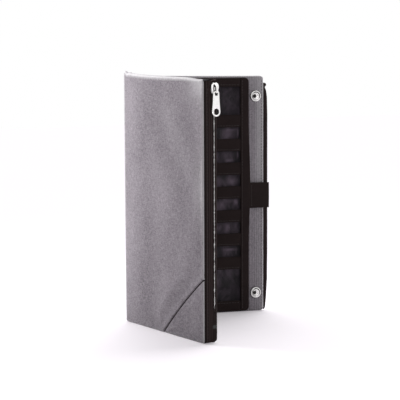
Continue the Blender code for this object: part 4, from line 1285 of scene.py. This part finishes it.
class WALLET_OT_zip_ends(bpy.types.Operator):
    """Folded tape ends above the slider, the cloth below the chain and the stop's dark metal."""

    bl_idname = "wallet.zip_ends"
    bl_label = "Zip Ends"

    def execute(self, context):
        look = black_tape(*ZIP_TAPE)
        middle = FRONT.extent("zip_tape_end")[:, 2].mean()
        turns = np.linspace(0.0, 2 * math.pi, 17)[:-1]
        across, out = (np.sign(wave) * np.abs(wave) ** 0.8 for wave in (np.cos(turns), np.sin(turns)))
        t = np.linspace(-1.0, 1.0, 13)[:, None]
        swell = np.maximum(0.05, 1 - np.abs(t) ** 2.6) ** 0.45
        lobes = []
        for side in (-1, 1):
            rings = FRONT.at(CHAIN_X + 1.25 * swell * out + 0.12 * side,
                             CHAIN_DEPTH + 1.15 * side + 1.05 * swell * across,
                             middle + 1.35 * t + 0.25 + 0.2 * side)
            lobes.append(tube_over(f"tape_end_lobe_{side}", rings, 70.0))
        obj = join_as("zip_tape_fold", *lobes)
        # Painted highlight on the upper, outer side of the folded ends
        x, _, z = places_of(obj).T
        put_painted_shading(obj, 1.1 * smooth(z, middle, 1.5) * smooth(x - FRONT_FOLD[0] - CHAIN_X, -1.0, 1.6))
        dress(obj, look, "front_cover", "zip_tape_end")

        (_, near, low), (_, far, high) = FRONT.extent("zip_foot_closure")
        depth = np.linspace(near - 0.45, far + 0.45, 17)
        start = low + rolled(TAPE_BACK - depth, FOOT_ROUND)
        z = start + np.linspace(0.0, 1.0, 13)[:, None] * (high - start)
        depth = np.broadcast_to(depth, z.shape)
        bulge = 0.45 * np.cos((depth - CHAIN_DEPTH) / 3.1 * math.pi / 2)
        x = CHAIN_X + 0.1 + bulge + 0.04 * swells(depth, z, 5, 71)
        foot = cloth_over("zip_foot_cloth", FRONT.at(x, depth, z), 0.35, (1.0, 0.0))
        dress(foot, look, "front_cover", "zip_foot_closure")

        paint(frame["nodes"]["zip_bottom_stop"], nickel_plate("dark_stop_metal", 0.45, 0.05)[0])
        return {"FINISHED"}


class WALLET_OT_slider(bpy.types.Operator):
    """Slider of the zip: a domed front plate with its flanges, the back plate and the bridge."""

    bl_idname = "wallet.slider"
    bl_label = "Slider"

    def execute(self, context):
        look, length = nickel_plate("nickel"), SLIDER_TOP - SLIDER_FOOT
        back_x, plate = CHAIN_X + 1.4, 1.1
        front = self.front_plate(length, back_x, plate)
        # Painted shadow: a dark floor behind the window, under the bridge
        floor = rounded_box(-2.1, 2.0, 0.12 * length, 0.89 * length, 1.0, 4)
        shadow_floor = self.stand(plate_from("slider_shadow_floor", [floor], 0.42, 0.0), back_x + 0.21)
        put_painted_shading(shadow_floor, 1.0)
        bar = rounded_box(-0.75, 0.05, 0.36 * length, 0.64 * length, 0.3, 3)
        pin = self.stand(plate_from("slider_pin", [bar], 0.5, 0.12, 2), back_x + 0.6)
        walls, inner, outer = [], 2.52, 3.45
        reach = back_x - FRONT.extent("slider_body")[0, 0] + 0.1
        for side in (-1, 1):
            edge = [(inner, 0.10), (0.88 * outer, 0.10), (outer, 0.45), (outer, 0.82), (0.88 * outer, 0.90),
                    (inner, 0.90)]
            wall = plate_from(f"slider_wall_{side}", [[(side * y, t * length) for y, t in edge]], reach, 0.12, 2)
            walls.append(self.stand(wall, back_x + 0.1 - reach / 2))
            # Painted shade on the flanges
            put_painted_shading(wall, 0.35)
        bridge = self.bridge(back_x + plate, 2.1, 0.8)
        body = join_as("zip_slider_shell", front, shadow_floor, pin, *walls, bridge)
        dress(body, look, "zip_slider", "slider_body")

        low, high = FRONT.extent("slider_back_plate")
        half, middle = (high[1] - low[1]) / 2, (low[0] + high[0]) / 2
        loop = rounded_box(-half, half, 0.1, length - 0.1, 1.5)
        back = self.stand(plate_from("zip_slider_back", [loop], high[0] - low[0], 0.3), middle)
        dress(back, look, "zip_slider", "slider_back_plate")
        return {"FINISHED"}

    def stand(self, obj, x):
        return stood(obj, FRONT.at(x, CHAIN_DEPTH, SLIDER_FOOT), ON_EDGE)

    def front_plate(self, length, back_x, plate):
        """The domed plate with its window; heights are shares of the slider's length."""
        wide, nose, tail = 3.75, 2.9, 2.8
        half = [(0.62 * tail, 0.05), (tail, 0.10), (1.06 * tail, 0.28), (0.97 * wide, 0.55), (wide, 0.68),
                (0.94 * wide, 0.82), (0.92 * nose, 0.95), (0.62 * nose, 1.0)]
        # Widths count little here, so the outline's points are spaced by height
        half = smooth_path(np.array(half) * (MM, 1.0), 22) * (1 / MM, length)
        window = rounded_box(-1.85, 1.70, 0.15 * length, 0.86 * length, 0.8, 4)[::-1]
        front = plate_from("slider_front", [[*half, *(half[::-1] * (-1, 1))], window], plate, 0.36, 4)
        points = places_of(self.stand(front, back_x + plate / 2))
        x, across, z = (points - (*FRONT_FOLD, SLIDER_FOOT) - (back_x, CHAIN_DEPTH, 0)).T
        outside, across = x > 0.6 * plate, np.abs(across)
        points[:, 0] += outside * 0.22 * (1 - np.clip((across / wide) ** 2, 0.0, 1.0))
        put_places(front, points)
        # Painted shade in the window and at the tail
        inside = (across < 1.9) & (z < 0.87 * length) & (z > 0.14 * length) & ~outside
        put_painted_shading(front, 0.9 * (inside | (across < 2.0) & (z < 0.16 * length)))
        return front

    def bridge(self, face_x, rise, thick):
        """The strap over the slider's face under which the pull hangs."""
        outer = smooth_path(
            [(-0.5, 0.10), (0.55 * rise, 0.05), (rise + 0.8 * thick, 1.0), (rise + thick, 2.4),
             (rise + thick, 5.4), (rise + 0.6 * thick, 7.0), (0.45 * rise, 8.6), (-0.5, 9.15)],
            26,
        )
        inner = smooth_path(
            [(-0.5, 0.95), (0.45 * rise, 0.90), (0.92 * rise, 1.55), (rise, 2.6),
             (rise, 5.2), (0.72 * rise, 6.6), (0.25 * rise, 7.7), (-0.5, 8.2)],
            26,
        )
        strap = plate_from("slider_bridge", [[*outer, *inner[::-1]]], 1.3, 0.22)
        # Painted shade at the strap's lower end
        put_painted_shading(strap, 0.9 * (places_of(strap)[:, 1] < 1.15))
        return stood(strap, FRONT.at(face_x, CHAIN_DEPTH, SLIDER_FOOT), SIDEWAYS)


class WALLET_OT_pull(bpy.types.Operator):
    """Pull of the zip: a flat blade with a slot for the bridge and a rimmed eye."""

    bl_idname = "wallet.pull"
    bl_label = "Pull"

    def execute(self, context):
        neck, end, bar, eye = 3.05, 4.05, 1.2, 2.75
        top, foot = -bar / 2, bar / 2 - 21.2
        eye_z = foot + 1.3 + eye
        side = smooth_path(
            [(0.52 * neck, bar / 2), (0.88 * neck, 0.15 * bar), (0.97 * neck, -1.2 * bar), (neck, -3.0 * bar),
             (1.10 * neck, -7.5 * bar), (end, foot + end)],
            20,
        )
        loop = [*side, *arc((0.0, foot + end), end, 0.0, -math.pi, 22)[1:-1], *(side[::-1] * (-1, 1))]
        slot = shifted([(-1.80, -0.15), (-1.60, 0.0), (1.60, 0.0), (1.80, -0.15), (1.15, -2.35), (0.85, -2.6),
                        (-0.85, -2.6), (-1.15, -2.35)], 0.0, top)
        hole = arc((0.0, eye_z), eye, 0.0, 2 * math.pi, 32)[:-1]
        blade = plate_from("pull_blade", [loop, slot, hole], 1.2, 0.26)
        deselect()
        bpy.ops.mesh.primitive_torus_add(major_segments=36, minor_segments=8, major_radius=3.13 * MM,
                                         minor_radius=0.28 * MM, location=(0.0, 0.0, 0.0))
        rim = name_piece("pull_rim")
        put_places(rim, places_of(rim) * (1.0, 1.0, 2.35) + (0.0, eye_z, 0.0))
        shade(rim, 80.0)
        # Painted shade in the eye and the slot
        for part in (blade, rim):
            x, y, z = places_of(part).T
            hollow = np.hypot(x, y - eye_z) < eye + 0.07
            hollow |= (np.abs(x) < 1.9) & (y < top + 0.1) & (y > top - 2.7)
            put_painted_shading(part, 0.85 * (hollow & (np.abs(z) < 0.45)))
        obj = stood(join_as("zip_pull_blade", blade, rim), PULL_PIVOT, ON_EDGE)
        dress(obj, nickel_plate("nickel"), "zip_pull", "pull_tab")
        return {"FINISHED"}


class WALLET_OT_spine_lining(bpy.types.Operator):
    """Lining across the inside of the spine and round both bends."""

    bl_idname = "wallet.spine_lining"
    bl_label = "Spine Lining"

    def execute(self, context):
        z = np.concatenate([[0.9], spread(1.3, HEIGHT - 1.3, 2.4), [HEIGHT - 0.9]])
        for side, cover, spine, reach in (("front", FRONT, SPINE, 5.6), ("back", BACK, SPINE_REVERSED, 6.6)):
            bend = Fold(cover, spine, 4.6)
            s, tall = np.meshgrid(spread(-bend.length(SPINE_WIDTH / 2), bend.length(reach), 0.8), z)
            depth = OVER_BOARD + 0.55 + 0.10 * swells(s, 0.35 * tall, 9, 81) * smooth(tall, 2, 6)
            depth[[0, -1]] = OVER_BOARD
            obj = cloth_over(f"spine_lining_{side}", bend.at(s, depth, tall), 0.35, SPINE.inward)
            dress(obj, dark_nylon("spine_nylon", 0.8), bend.bodies(5))
        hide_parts("spine_lining")
        return {"FINISHED"}


class WALLET_OT_organiser(bpy.types.Operator):
    """Backing of the card organiser and the four folded bindings round it."""

    bl_idname = "wallet.organiser"
    bl_label = "Card Organiser"

    def execute(self, context):
        left, right = BACK.extent("organiser_border_fold")[0, 0], BACK.extent("organiser_border_free")[1, 0]
        foot, top = BACK.extent("organiser_backing")[:, 2]
        x, z = np.meshgrid(spread(left + 4, right - 4, 2.2), spread(foot + 4, top - 4, 2.2))
        flat = smooth(np.minimum.reduce([x - left, right - x, z - foot, top - z]), 7, 5)
        crease = swells(x, 0.4 * z, 16, 91) + 0.5 * swells(1.6 * x, z, 7, 92)
        # Painted highlight on the crests of the creases
        back = cloth_over("organiser_backing_nylon", BACK.at(x, BACKING_FACE - 0.05 + 0.09 * crease * flat, z), 0.3,
                          BACK.inward, painted_shading=0.20 * smooth(crease, -0.1, 1.4) * flat)
        dress(back, dark_nylon(*POCKET_NYLON), "back_cover", "organiser_backing")
        for side in ("free", "fold", "top", "foot"):
            self.binding(side)
        return {"FINISHED"}

    def binding(self, side):
        node, radius, upright = f"organiser_border_{side}", 0.85, side in ("free", "fold")
        (a, _, low), (b, _, high) = BACK.extent(node)
        ends = rim_steps(radius, 4)
        x = np.pad(with_rims(a, b, ends, ends, 1.0), 2, "edge")
        z = np.pad(with_rims(low, high, ends, ends, 2.2 if upright else 1.0), 2, "edge")

        # The repeated outermost rows and columns fall to the backing
        falls = np.zeros(len(x)), np.zeros(len(z))
        for fall in falls:
            fall[[0, -1]], fall[[1, -2]] = 1.45, 0.7
        wide, tall = np.meshgrid(x, z)
        cut, pulled = 0.0, 0.0
        if side == "free":
            cut = rolled(b - wide, 4.0)
            tall = low + cut + (tall - low) / (high - low) * (high - low - 2 * cut)
            loop = BACK.extent("pen_loop")[:, 2].mean() + 12
            pulled = 1.5 * bell(tall - loop, 34) * smooth(wide, a, b - a)
        dx, dz = np.minimum(wide - a, b - wide), np.minimum(tall - low - cut, high - cut - tall)
        uneven = swells(tall, 0.3 * wide, 24, 95) if upright else swells(wide, 0.3 * tall, 24, 95)
        flat = smooth(np.minimum(dx, dz), radius, 1)
        inner, outer, row = {
            "free": (wide - a, b - wide, a + BINDING_SEAM),
            "fold": (b - wide, wide - a, b - BINDING_SEAM),
            "top": (tall - low, high - tall, low + BINDING_SEAM),
            "foot": (high - tall, tall - low, high - BINDING_SEAM),
        }[side]
        depth = BORDER_FACE - np.maximum(rolled(dx, radius), rolled(dz, radius)) + 0.07 * uneven * flat
        depth = depth - np.maximum(falls[0], falls[1][:, None])
        depth = depth - (groove(inner - BINDING_SEAM, 0.9, 0.22) + groove(outer - 4.3, 0.7, 0.18)) * flat
        obj = cloth_over(f"organiser_binding_{side}", BACK.at(wide + pulled, depth, tall), 0.4, BACK.inward,
                         angle=55.0)
        way, run = ("upright", "v") if upright else ("level", "u")
        dress(obj, black_tape(f"binding_weave_{way}", run, 0.95), "back_cover", node)
        face = BORDER_FACE - 0.14
        start, end = ((row, face, low + 2), (row, face, high - 2)) if upright else (
            (a + 1, face, row), (b - 1, face, row))
        sew(f"binding_stitches_{side}", BACK, start, end)


# Where the slack nylon of each card pocket catches the light: from its right end, up from the middle of what
# shows of it, half width, half height (mm) and strength
SHINE = {
    1: ((1.8, 0.0, 0.8, 4.0, 0.9), (9.0, 3.4, 6.0, 1.1, 0.4), (10.0, 0.0, 8.0, 5.0, 0.25)),
    2: ((2.0, 2.2, 0.9, 3.2, 0.8), (10.8, -3.2, 3.6, 1.7, 0.9), (12.0, 1.8, 4.6, 3.6, 0.5), (24.0, 0.0, 3.0, 4.0, 0.3)),
    3: ((9.0, 0.0, 5.2, 4.0, 0.85), (20.5, -0.8, 2.8, 4.6, 0.65), (40.0, 0.0, 6.0, 4.0, 0.5)),
    4: ((4.0, 2.4, 2.2, 2.6, 0.95), (19.5, -0.8, 4.0, 4.2, 0.6), (10.5, 3.6, 6.0, 1.3, 0.35)),
    5: ((12.5, 0.2, 2.3, 4.2, 0.8), (21.0, 0.5, 2.6, 2.6, 0.35), (4.5, 1.5, 1.2, 3.0, 0.3)),
    6: ((10.0, 2.0, 6.6, 1.2, 0.8), (4.0, 0.4, 0.9, 3.2, 0.5), (14.0, -1.0, 3.0, 2.4, 0.3)),
    7: ((12.0, 7.5, 3.6, 8.0, 0.5), (9.0, -14.0, 1.1, 1.1, 0.9), (21.0, 2.0, 3.0, 9.0, 0.25)),
}


class WALLET_OT_card_pockets(bpy.types.Operator):
    """Seven stepped card pockets of creased nylon, each with a folded ribbon along its mouth."""

    bl_idname = "wallet.card_pockets"
    bl_label = "Card Pockets"

    def execute(self, context):
        left, right = BACK.extent("organiser_border_top")[:, 0]
        x = spread(left - 0.2, right + 0.2, 0.9)
        arch = np.sin((x - left) / (right - left) * math.pi)
        for number in SHINE:
            foot, mouth = BACK.extent(f"card_pocket_{number}")[:, 2]
            band = BACK.extent(f"card_band_{number}")[:, 2]
            shown = foot if number == len(SHINE) else BACK.extent(f"card_pocket_{number + 1}")[1, 2]
            wide, tall = np.meshgrid(x, spread(foot, mouth, 1.2))
            share, from_right = (tall - foot) / (mouth - foot), right - wide
            loose = smooth(np.minimum(wide - left, from_right) / 9)
            loose = loose * smooth((mouth - tall) / 3) * smooth((tall - foot) / 3)
            crease = 0.8 * swells(wide, 0.35 * tall, 21, 100 + number) + 0.8 * arch * np.sin(share * math.pi)
            crease = crease + 0.5 * swells(wide + 0.6 * tall, 0.5 * tall, 8, 120 + number)

            # The nylon leans out to its mouth and creases where it's loose
            lean = CARD_FOOT + 0.15 + (CARD_MOUTH - CARD_FOOT - 0.05) * share
            # Painted highlights on the crests and at the shine places, painted shade under the binding at the right end
            painted_shine_and_shade = 0.35 * smooth(crease, 0.75, 1.3) * loose - 0.8 * bell(from_right, 1.1)
            for away, up, half_wide, half_tall, strength in SHINE[number]:
                off = np.abs((from_right - away) / half_wide) ** 2.6
                off = off + np.abs((tall - (shown + band[0]) / 2 - up) / half_tall) ** 2.6
                painted_shine_and_shade = painted_shine_and_shade + 0.75 * strength * np.exp(-off)
            obj = cloth_over(f"card_pocket_nylon_{number}", BACK.at(wide, lean + 0.30 * crease * loose, tall), 0.22,
                             BACK.inward, painted_shading=painted_shine_and_shade)
            dress(obj, dark_nylon(*POCKET_NYLON), "back_cover", f"card_pocket_{number}")
            self.ribbon(number, x, arch, band)
            face = CARD_MOUTH + 0.90
            sew(f"card_stitches_{number}", BACK, (left + 1, face, band[0] + 1.5), (right - 1, face, band[0] + 1.5))
        return {"FINISHED"}

    def ribbon(self, number, x, arch, band):
        front, (low, high) = CARD_MOUTH + 0.85, band
        path = smooth_path(
            shifted([(-0.32, 0.05), (-0.02, 0.7), (0.0, 3.0)], front, low)
            + shifted([(0.0, -1.6), (-0.12, -0.5), (-0.50, 0.0), (-1.05, -0.1), (-1.28, -0.45), (-1.30, -1.3)],
                      front, high),
            26,
        )
        depth, z = path[:, :1], path[:, 1:]
        sag = 0.35 * arch**2 + 0.10 * swells(x, 0 * x, 18, 140 + number)
        drop = sag * (0.25 + 0.75 * np.clip((z - low) / (high - low), 0.0, 1.0))
        points = BACK.at(x, depth + 0.10 * arch, z - drop)
        obj = cloth_over(f"card_ribbon_{number}", points, 0.26, BACK.inward, angle=75.0)
        dress(obj, black_tape(*BAND_TAPE), "back_cover", f"card_band_{number}")


# Radius and height round each half of a snap, from its foot up
SNAP_PROFILES = {
    "socket": [
        (0.0, 0.0), (5.0, 0.0), (5.35, 0.25), (5.40, 0.60), (5.25, 1.0), (4.9, 1.35), (4.45, 1.50), (4.05, 1.36),
        (3.85, 1.12), (3.6, 1.14), (3.4, 1.40), (3.15, 1.68), (2.8, 1.80), (2.5, 1.78), (2.25, 1.62), (2.18, 1.35),
        (2.18, 0.62), (2.0, 0.55), (1.5, 0.55), (1.0, 0.55), (0.5, 0.55), (0.0, 0.55),
    ],
    "stud": [
        (0.0, 0.0), (3.75, 0.0), (4.0, 0.12), (4.0, 0.32), (3.75, 0.52), (3.2, 0.60), (2.5, 0.60), (2.15, 0.75),
        (1.75, 1.05), (1.45, 1.45), (1.38, 1.85), (1.5, 2.35), (1.68, 2.75), (1.66, 3.1), (1.42, 3.42), (1.0, 3.58),
        (0.0, 3.60),
    ],
}


class WALLET_OT_snaps(bpy.types.Operator):
    """Two ring snaps: nickel sockets on the back cover and studs on the front."""

    bl_idname = "wallet.snaps"
    bl_label = "Snaps"

    def execute(self, context):
        for kind, lay in (("socket", BACK), ("stud", FRONT)):
            for place in ("upper", "lower"):
                node = f"snap_{kind}_{place}"
                (_, near, _), (across, _, middle) = lay.extent(node)[0], lay.extent(node).mean(axis=0)
                obj = turned(f"{kind}_{place}", SNAP_PROFILES[kind], context.scene.wallet_metal.turned_steps)
                x, y, z = places_of(obj).T
                radius = np.hypot(x, y)
                if kind == "socket":
                    across, near = WIDTH - SNAP_INSET, FACING_FACE + 0.06
                    # Painted shade in the hole, the groove between the rings and on the outer rim, and painted dark
                    # reflections on the left side
                    hole = np.hypot((x + 1.1) / 1.9, y / 1.7)
                    dark_reflection_side = 1 - smooth(x, -0.4, 2.2)
                    shade_and_dark_reflection = 1 - smooth(hole, 0.85, 0.35) + 0.7 * (radius > 5.2) + 0.34 * (radius < 3.5) * dark_reflection_side
                    shade_and_dark_reflection = shade_and_dark_reflection + (0.30 + 0.6 * smooth((x + y) / 3)) * (np.abs(radius - 3.75) < 0.35)
                    shade_and_dark_reflection = shade_and_dark_reflection + 0.16 * (radius > 4.0) * (1 + dark_reflection_side)
                else:
                    # Painted shade in the stud's waist
                    shade_and_dark_reflection = 0.5 * (np.abs(radius - 1.5) < 0.2) * (z < 2.0)
                put_painted_shading(obj, shade_and_dark_reflection)
                stood(obj, lay.at(across, near, middle), ((*lay.along, 0), (0, 0, 1), (*lay.inward, 0)))
                dress(obj, nickel_plate("snap_nickel", 0.24, 0.99), lay.body, node)
        return {"FINISHED"}


class WALLET_OT_pen_loop(bpy.types.Operator):
    """Elastic pen loop across the facing and past the free edge."""

    bl_idname = "wallet.pen_loop"
    bl_label = "Pen Loop"

    def execute(self, context):
        (a, near, low), (b, far, high) = BACK.extent("pen_loop")
        band, middle = 0.9, (near + far) / 2
        radius = (far - near - band) / 2
        left, right = a + band / 2 + radius, b - band / 2 - radius
        flat, turns = spread(left, right, 1.2), np.linspace(0.3, 2.84, 8)
        path = np.array([
            *((x, middle + radius) for x in flat),
            *((right + radius * math.sin(t), middle + radius * math.cos(t)) for t in turns),
            *((x, middle - radius) for x in flat[::-1]),
            *((left - radius * math.sin(t), middle - radius * math.cos(t)) for t in turns),
        ])
        normals = sides_of(path, path - ((a + b) / 2, middle))
        path, normals = (np.concatenate([values, values[:1]]) for values in (path, normals))
        hem = rim_steps(0.5, 3)[1:]
        z = np.concatenate([[low], low + hem, spread(low + 1.2, high - 1.2, 1.2), (high - hem)[::-1], [high]])[:, None]
        shown = path[:, 1] > middle
        shift = 0.12 * np.sin((z - low) / (high - low) * math.pi) - groove(path[:, 0] - (b - 3.4), 1.0, 0.22)
        moved = path + (shift * shown)[..., None] * normals
        obj = closed_up(grid_over("pen_loop_elastic", BACK.at(moved[..., 0], moved[..., 1], z)), 1e-7)
        finish_with(obj, "SOLIDIFY", thickness=band * MM, offset=0.0, use_rim=True)
        finish_with(obj, "BEVEL", width=0.2 * MM, segments=2, limit_method="ANGLE", angle_limit=math.radians(60.0))
        shade(obj)
        dress(obj, black_tape("elastic_weave", "v", 1.15), "back_cover", "pen_loop")
        row, face = a + 2.2, far + 0.02
        sew("pen_loop_stitches", BACK, (row, face, low + 1.5), (row, face, high - 1.5), pitch=2.2)
        return {"FINISHED"}


class WALLET_OT_piping(bpy.types.Operator):
    """Black piping on the back cover's free edge, with its seam line, foot taper and knob."""

    bl_idname = "wallet.piping"
    bl_label = "Edge Piping"

    def execute(self, context):
        points, seam = BACK.seen("back_edge_piping"), 0.65
        near = points[:, 0].min()
        levels = np.unique(np.round(points[:, 2], 2))
        rings = [points[np.abs(points[:, 2] - level) < 0.02] for level in levels]
        sizes = np.array([(ring[:, 0].max() - near, np.ptp(ring[:, 1]) / 2, ring[:, 1].min() + np.ptp(ring[:, 1]) / 2)
                          for ring in rings])
        foot, top = levels[[0, -1]]
        z = np.concatenate([spread(foot, top - 7, 1.6), spread(top - 6.6, top, 0.33)])[:, None]
        width, thick, middle = (np.interp(z, levels, column) for column in sizes.T)
        turns = np.linspace(0.0, 2 * math.pi, 25)[:-1]
        line = groove((turns - seam + math.pi) % (2 * math.pi) - math.pi, 0.5, 0.16)
        shape = 1.0 - line + 0.012 * np.sin(z * 2 * math.pi / 2.7)
        x = near + width / 2 * (1 + np.cos(turns) * shape)
        depth = middle + thick * np.sin(turns) * shape + 0.06 * swells(z, 0 * z, 22, 161)
        obj = tube_over("edge_piping", BACK.at(x, depth, z), 60.0)
        dress(obj, black_tape("piping_weave", "v", 0.7, 0.6), "back_cover", "back_edge_piping")
        # The thread lies in the seam's groove along the plain run
        plain_width, plain_depth, sunk = 4.2, 1.6, 0.86
        reach = near + plain_width / 2 * (1 + math.cos(seam) * sunk)
        depth = np.median(sizes[:, 2]) + plain_depth * math.sin(seam) * sunk
        side = BACK.along * math.cos(seam) + BACK.inward * math.sin(seam)
        sew("piping_stitches", BACK, (reach, depth, 62), (reach, depth, HEIGHT - 40),
            sewing_thread("dull_thread", (0.075, 0.07, 0.07)), (*side, 0.0), width=0.2)
        return {"FINISHED"}


class WALLET_OT_boards(bpy.types.Operator):
    """Pressed-board finish of the stiffeners inside the covers and the spine."""

    bl_idname = "wallet.boards"
    bl_label = "Boards"

    def execute(self, context):
        for node in ("front_board", "back_board", "spine_board"):
            paint(frame["nodes"][node], stiffener_board("pressed_board")[0])
        return {"FINISHED"}


def softbox(name, location, target, width, height, watts):
    deselect()
    bpy.ops.object.light_add(type="AREA", location=location)
    lamp = bpy.context.active_object
    lamp.name = lamp.data.name = name
    lamp.data.shape = "RECTANGLE"
    lamp.data.size, lamp.data.size_y = width, height
    lamp.data.energy = watts
    lamp.visible_camera = False
    lamp.rotation_euler = (Vector(location) - Vector(target)).to_track_quat("Z", "Y").to_euler()
    return lamp


def seen_mix(look):
    """1 for what the camera, a mirror or clear glass sees, 0 for light on surfaces."""
    outputs = look.node("ShaderNodeLightPath").socket.node.outputs
    camera, glossy, through = (
        Socket(look, outputs[name]) for name in ("Is Camera Ray", "Is Glossy Ray", "Is Transmission Ray")
    )
    return camera.most(glossy).most(through)


class WALLET_OT_stage(bpy.types.Operator):
    """Pale floor, soft studio light and the camera."""

    bl_idname = "wallet.stage"
    bl_label = "Stage"

    def execute(self, context):
        stage, scene = context.scene.wallet_stage, context.scene
        scene.view_settings.view_transform = "Standard"

        scene.world = bpy.data.worlds.new("studio")
        look = Look(scene.world)
        look.tree.nodes.clear()
        seen = seen_mix(look)
        even = look.node("ShaderNodeBackground", None, {"Color": (1.0, 1.0, 1.0, 1.0), "Strength": stage.ambient})
        white = look.node("ShaderNodeBackground", None, {"Color": (1.0, 1.0, 1.0, 1.0), "Strength": 1.0})
        output = look.tree.nodes.new("ShaderNodeOutputWorld")
        look.put(output.inputs["Surface"], look.node("ShaderNodeMixShader", None, {0: seen, 1: even, 2: white}))

        deselect()
        bpy.ops.mesh.primitive_plane_add(size=6.0, location=(0.0, 0.0, 0.0))
        floor = name_piece("floor")
        pale = new_look("white_floor", (0.95, 0.95, 0.95))
        share = (0.5 + pale.noise(pale.coordinates("Object"), 3.0, 2.0, 0.5).swing(0.3)).clamped()
        pale.finish(Base_Color=pale.colours(share, (0.38, 0.37, 0.38), (0.42, 0.41, 0.42)), Roughness=0.6,
                    Specular_IOR_Level=0.2)
        bright = pale.colours(share, (0.72, 0.69, 0.725), (0.76, 0.73, 0.765))
        sheet = pale.node("ShaderNodeBsdfDiffuse", None, {"Color": bright})
        glow = pale.node("ShaderNodeEmission", None, {"Color": (1.0, 0.965, 1.0, 1.0), "Strength": 0.31})
        shown = pale.node("ShaderNodeAddShader", None, {0: sheet, 1: glow})
        plain = Socket(pale, pale.shader.outputs[0])
        pale.put(pale.tree.nodes["Material Output"].inputs["Surface"],
                 pale.node("ShaderNodeMixShader", None, {0: seen_mix(pale), 1: plain, 2: shown}))
        paint(floor, pale.owner)

        softbox("key", (-0.30, -0.25, 0.37), (-0.05, -0.07, 0.22), 0.15, 0.15, 1.24)
        softbox("low", (-0.30, -0.34, 0.04), (-0.06, -0.07, 0.01), 0.12, 0.12, 0.34)
        softbox("right", (1.25, -0.20, 0.65), (0.03, 0.0, 0.1), 0.7, 0.9, 2.0)
        bpy.ops.object.light_add(type="SUN", location=(0.0, 0.3, 1.5))
        overhead = context.active_object
        overhead.name = overhead.data.name = "overhead"
        overhead.data.energy = stage.overhead
        overhead.data.angle = math.radians(60.0)
        overhead.rotation_euler = Vector((-0.45, 0.60, 1.0)).to_track_quat("Z", "Y").to_euler()

        # The camera looks at this point, and so the render frames the wallet as the photograph does
        target = Vector((-0.02196, -0.01335, 0.1126))
        a, e = stage.azimuth, stage.elevation
        back = Vector((math.sin(a) * math.cos(e), -math.cos(a) * math.cos(e), math.sin(e)))
        bpy.ops.object.camera_add(location=target + back * stage.distance)
        camera = context.active_object
        camera.name = "camera"
        camera.data.sensor_width = 36.0
        camera.data.lens = stage.lens
        camera.data.clip_start, camera.data.clip_end = 0.05, 20.0
        turn = back.to_track_quat("Z", "Y")
        camera.rotation_euler = (turn.to_matrix() @ Matrix.Rotation(stage.roll, 3, "Z")).to_euler()
        scene.camera = camera
        return {"FINISHED"}


OPERATORS = (
    WALLET_OT_front_cloth,
    WALLET_OT_corner_patch,
    WALLET_OT_back_cloth,
    WALLET_OT_back_facing,
    WALLET_OT_pocket,
    WALLET_OT_slip_pocket,
    WALLET_OT_zip_tapes,
    WALLET_OT_zip_chain,
    WALLET_OT_zip_ends,
    WALLET_OT_slider,
    WALLET_OT_pull,
    WALLET_OT_spine_lining,
    WALLET_OT_organiser,
    WALLET_OT_card_pockets,
    WALLET_OT_snaps,
    WALLET_OT_pen_loop,
    WALLET_OT_piping,
    WALLET_OT_boards,
    WALLET_OT_stage,
)


class WALLET_PT_dressing(bpy.types.Panel):
    """Buttons for the wallet's pieces and its stage."""

    bl_label = "Travel Wallet"
    bl_idname = "WALLET_PT_dressing"
    bl_space_type = "VIEW_3D"
    bl_region_type = "UI"
    bl_category = "Wallet"

    def draw(self, context):
        for name in SETTINGS:
            group = getattr(context.scene, name)
            box = self.layout.box()
            for key in group.bl_rna.properties.keys():
                if key not in ("rna_type", "name"):
                    box.prop(group, key)
        for operator in OPERATORS:
            self.layout.operator(operator.bl_idname)


def register():
    for group in SETTINGS.values():
        bpy.utils.register_class(group)
    for name, group in SETTINGS.items():
        setattr(bpy.types.Scene, name, bpy.props.PointerProperty(type=group))
    for operator in OPERATORS:
        bpy.utils.register_class(operator)
    bpy.utils.register_class(WALLET_PT_dressing)


def unregister():
    bpy.utils.unregister_class(WALLET_PT_dressing)
    for operator in reversed(OPERATORS):
        bpy.utils.unregister_class(operator)
    for name in SETTINGS:
        delattr(bpy.types.Scene, name)
    for group in SETTINGS.values():
        bpy.utils.unregister_class(group)


def main():
    register()
    for operator in OPERATORS:
        family, action = operator.bl_idname.split(".")
        getattr(getattr(bpy.ops, family), action)()
    deselect()


if __name__ == "__main__":
    main()
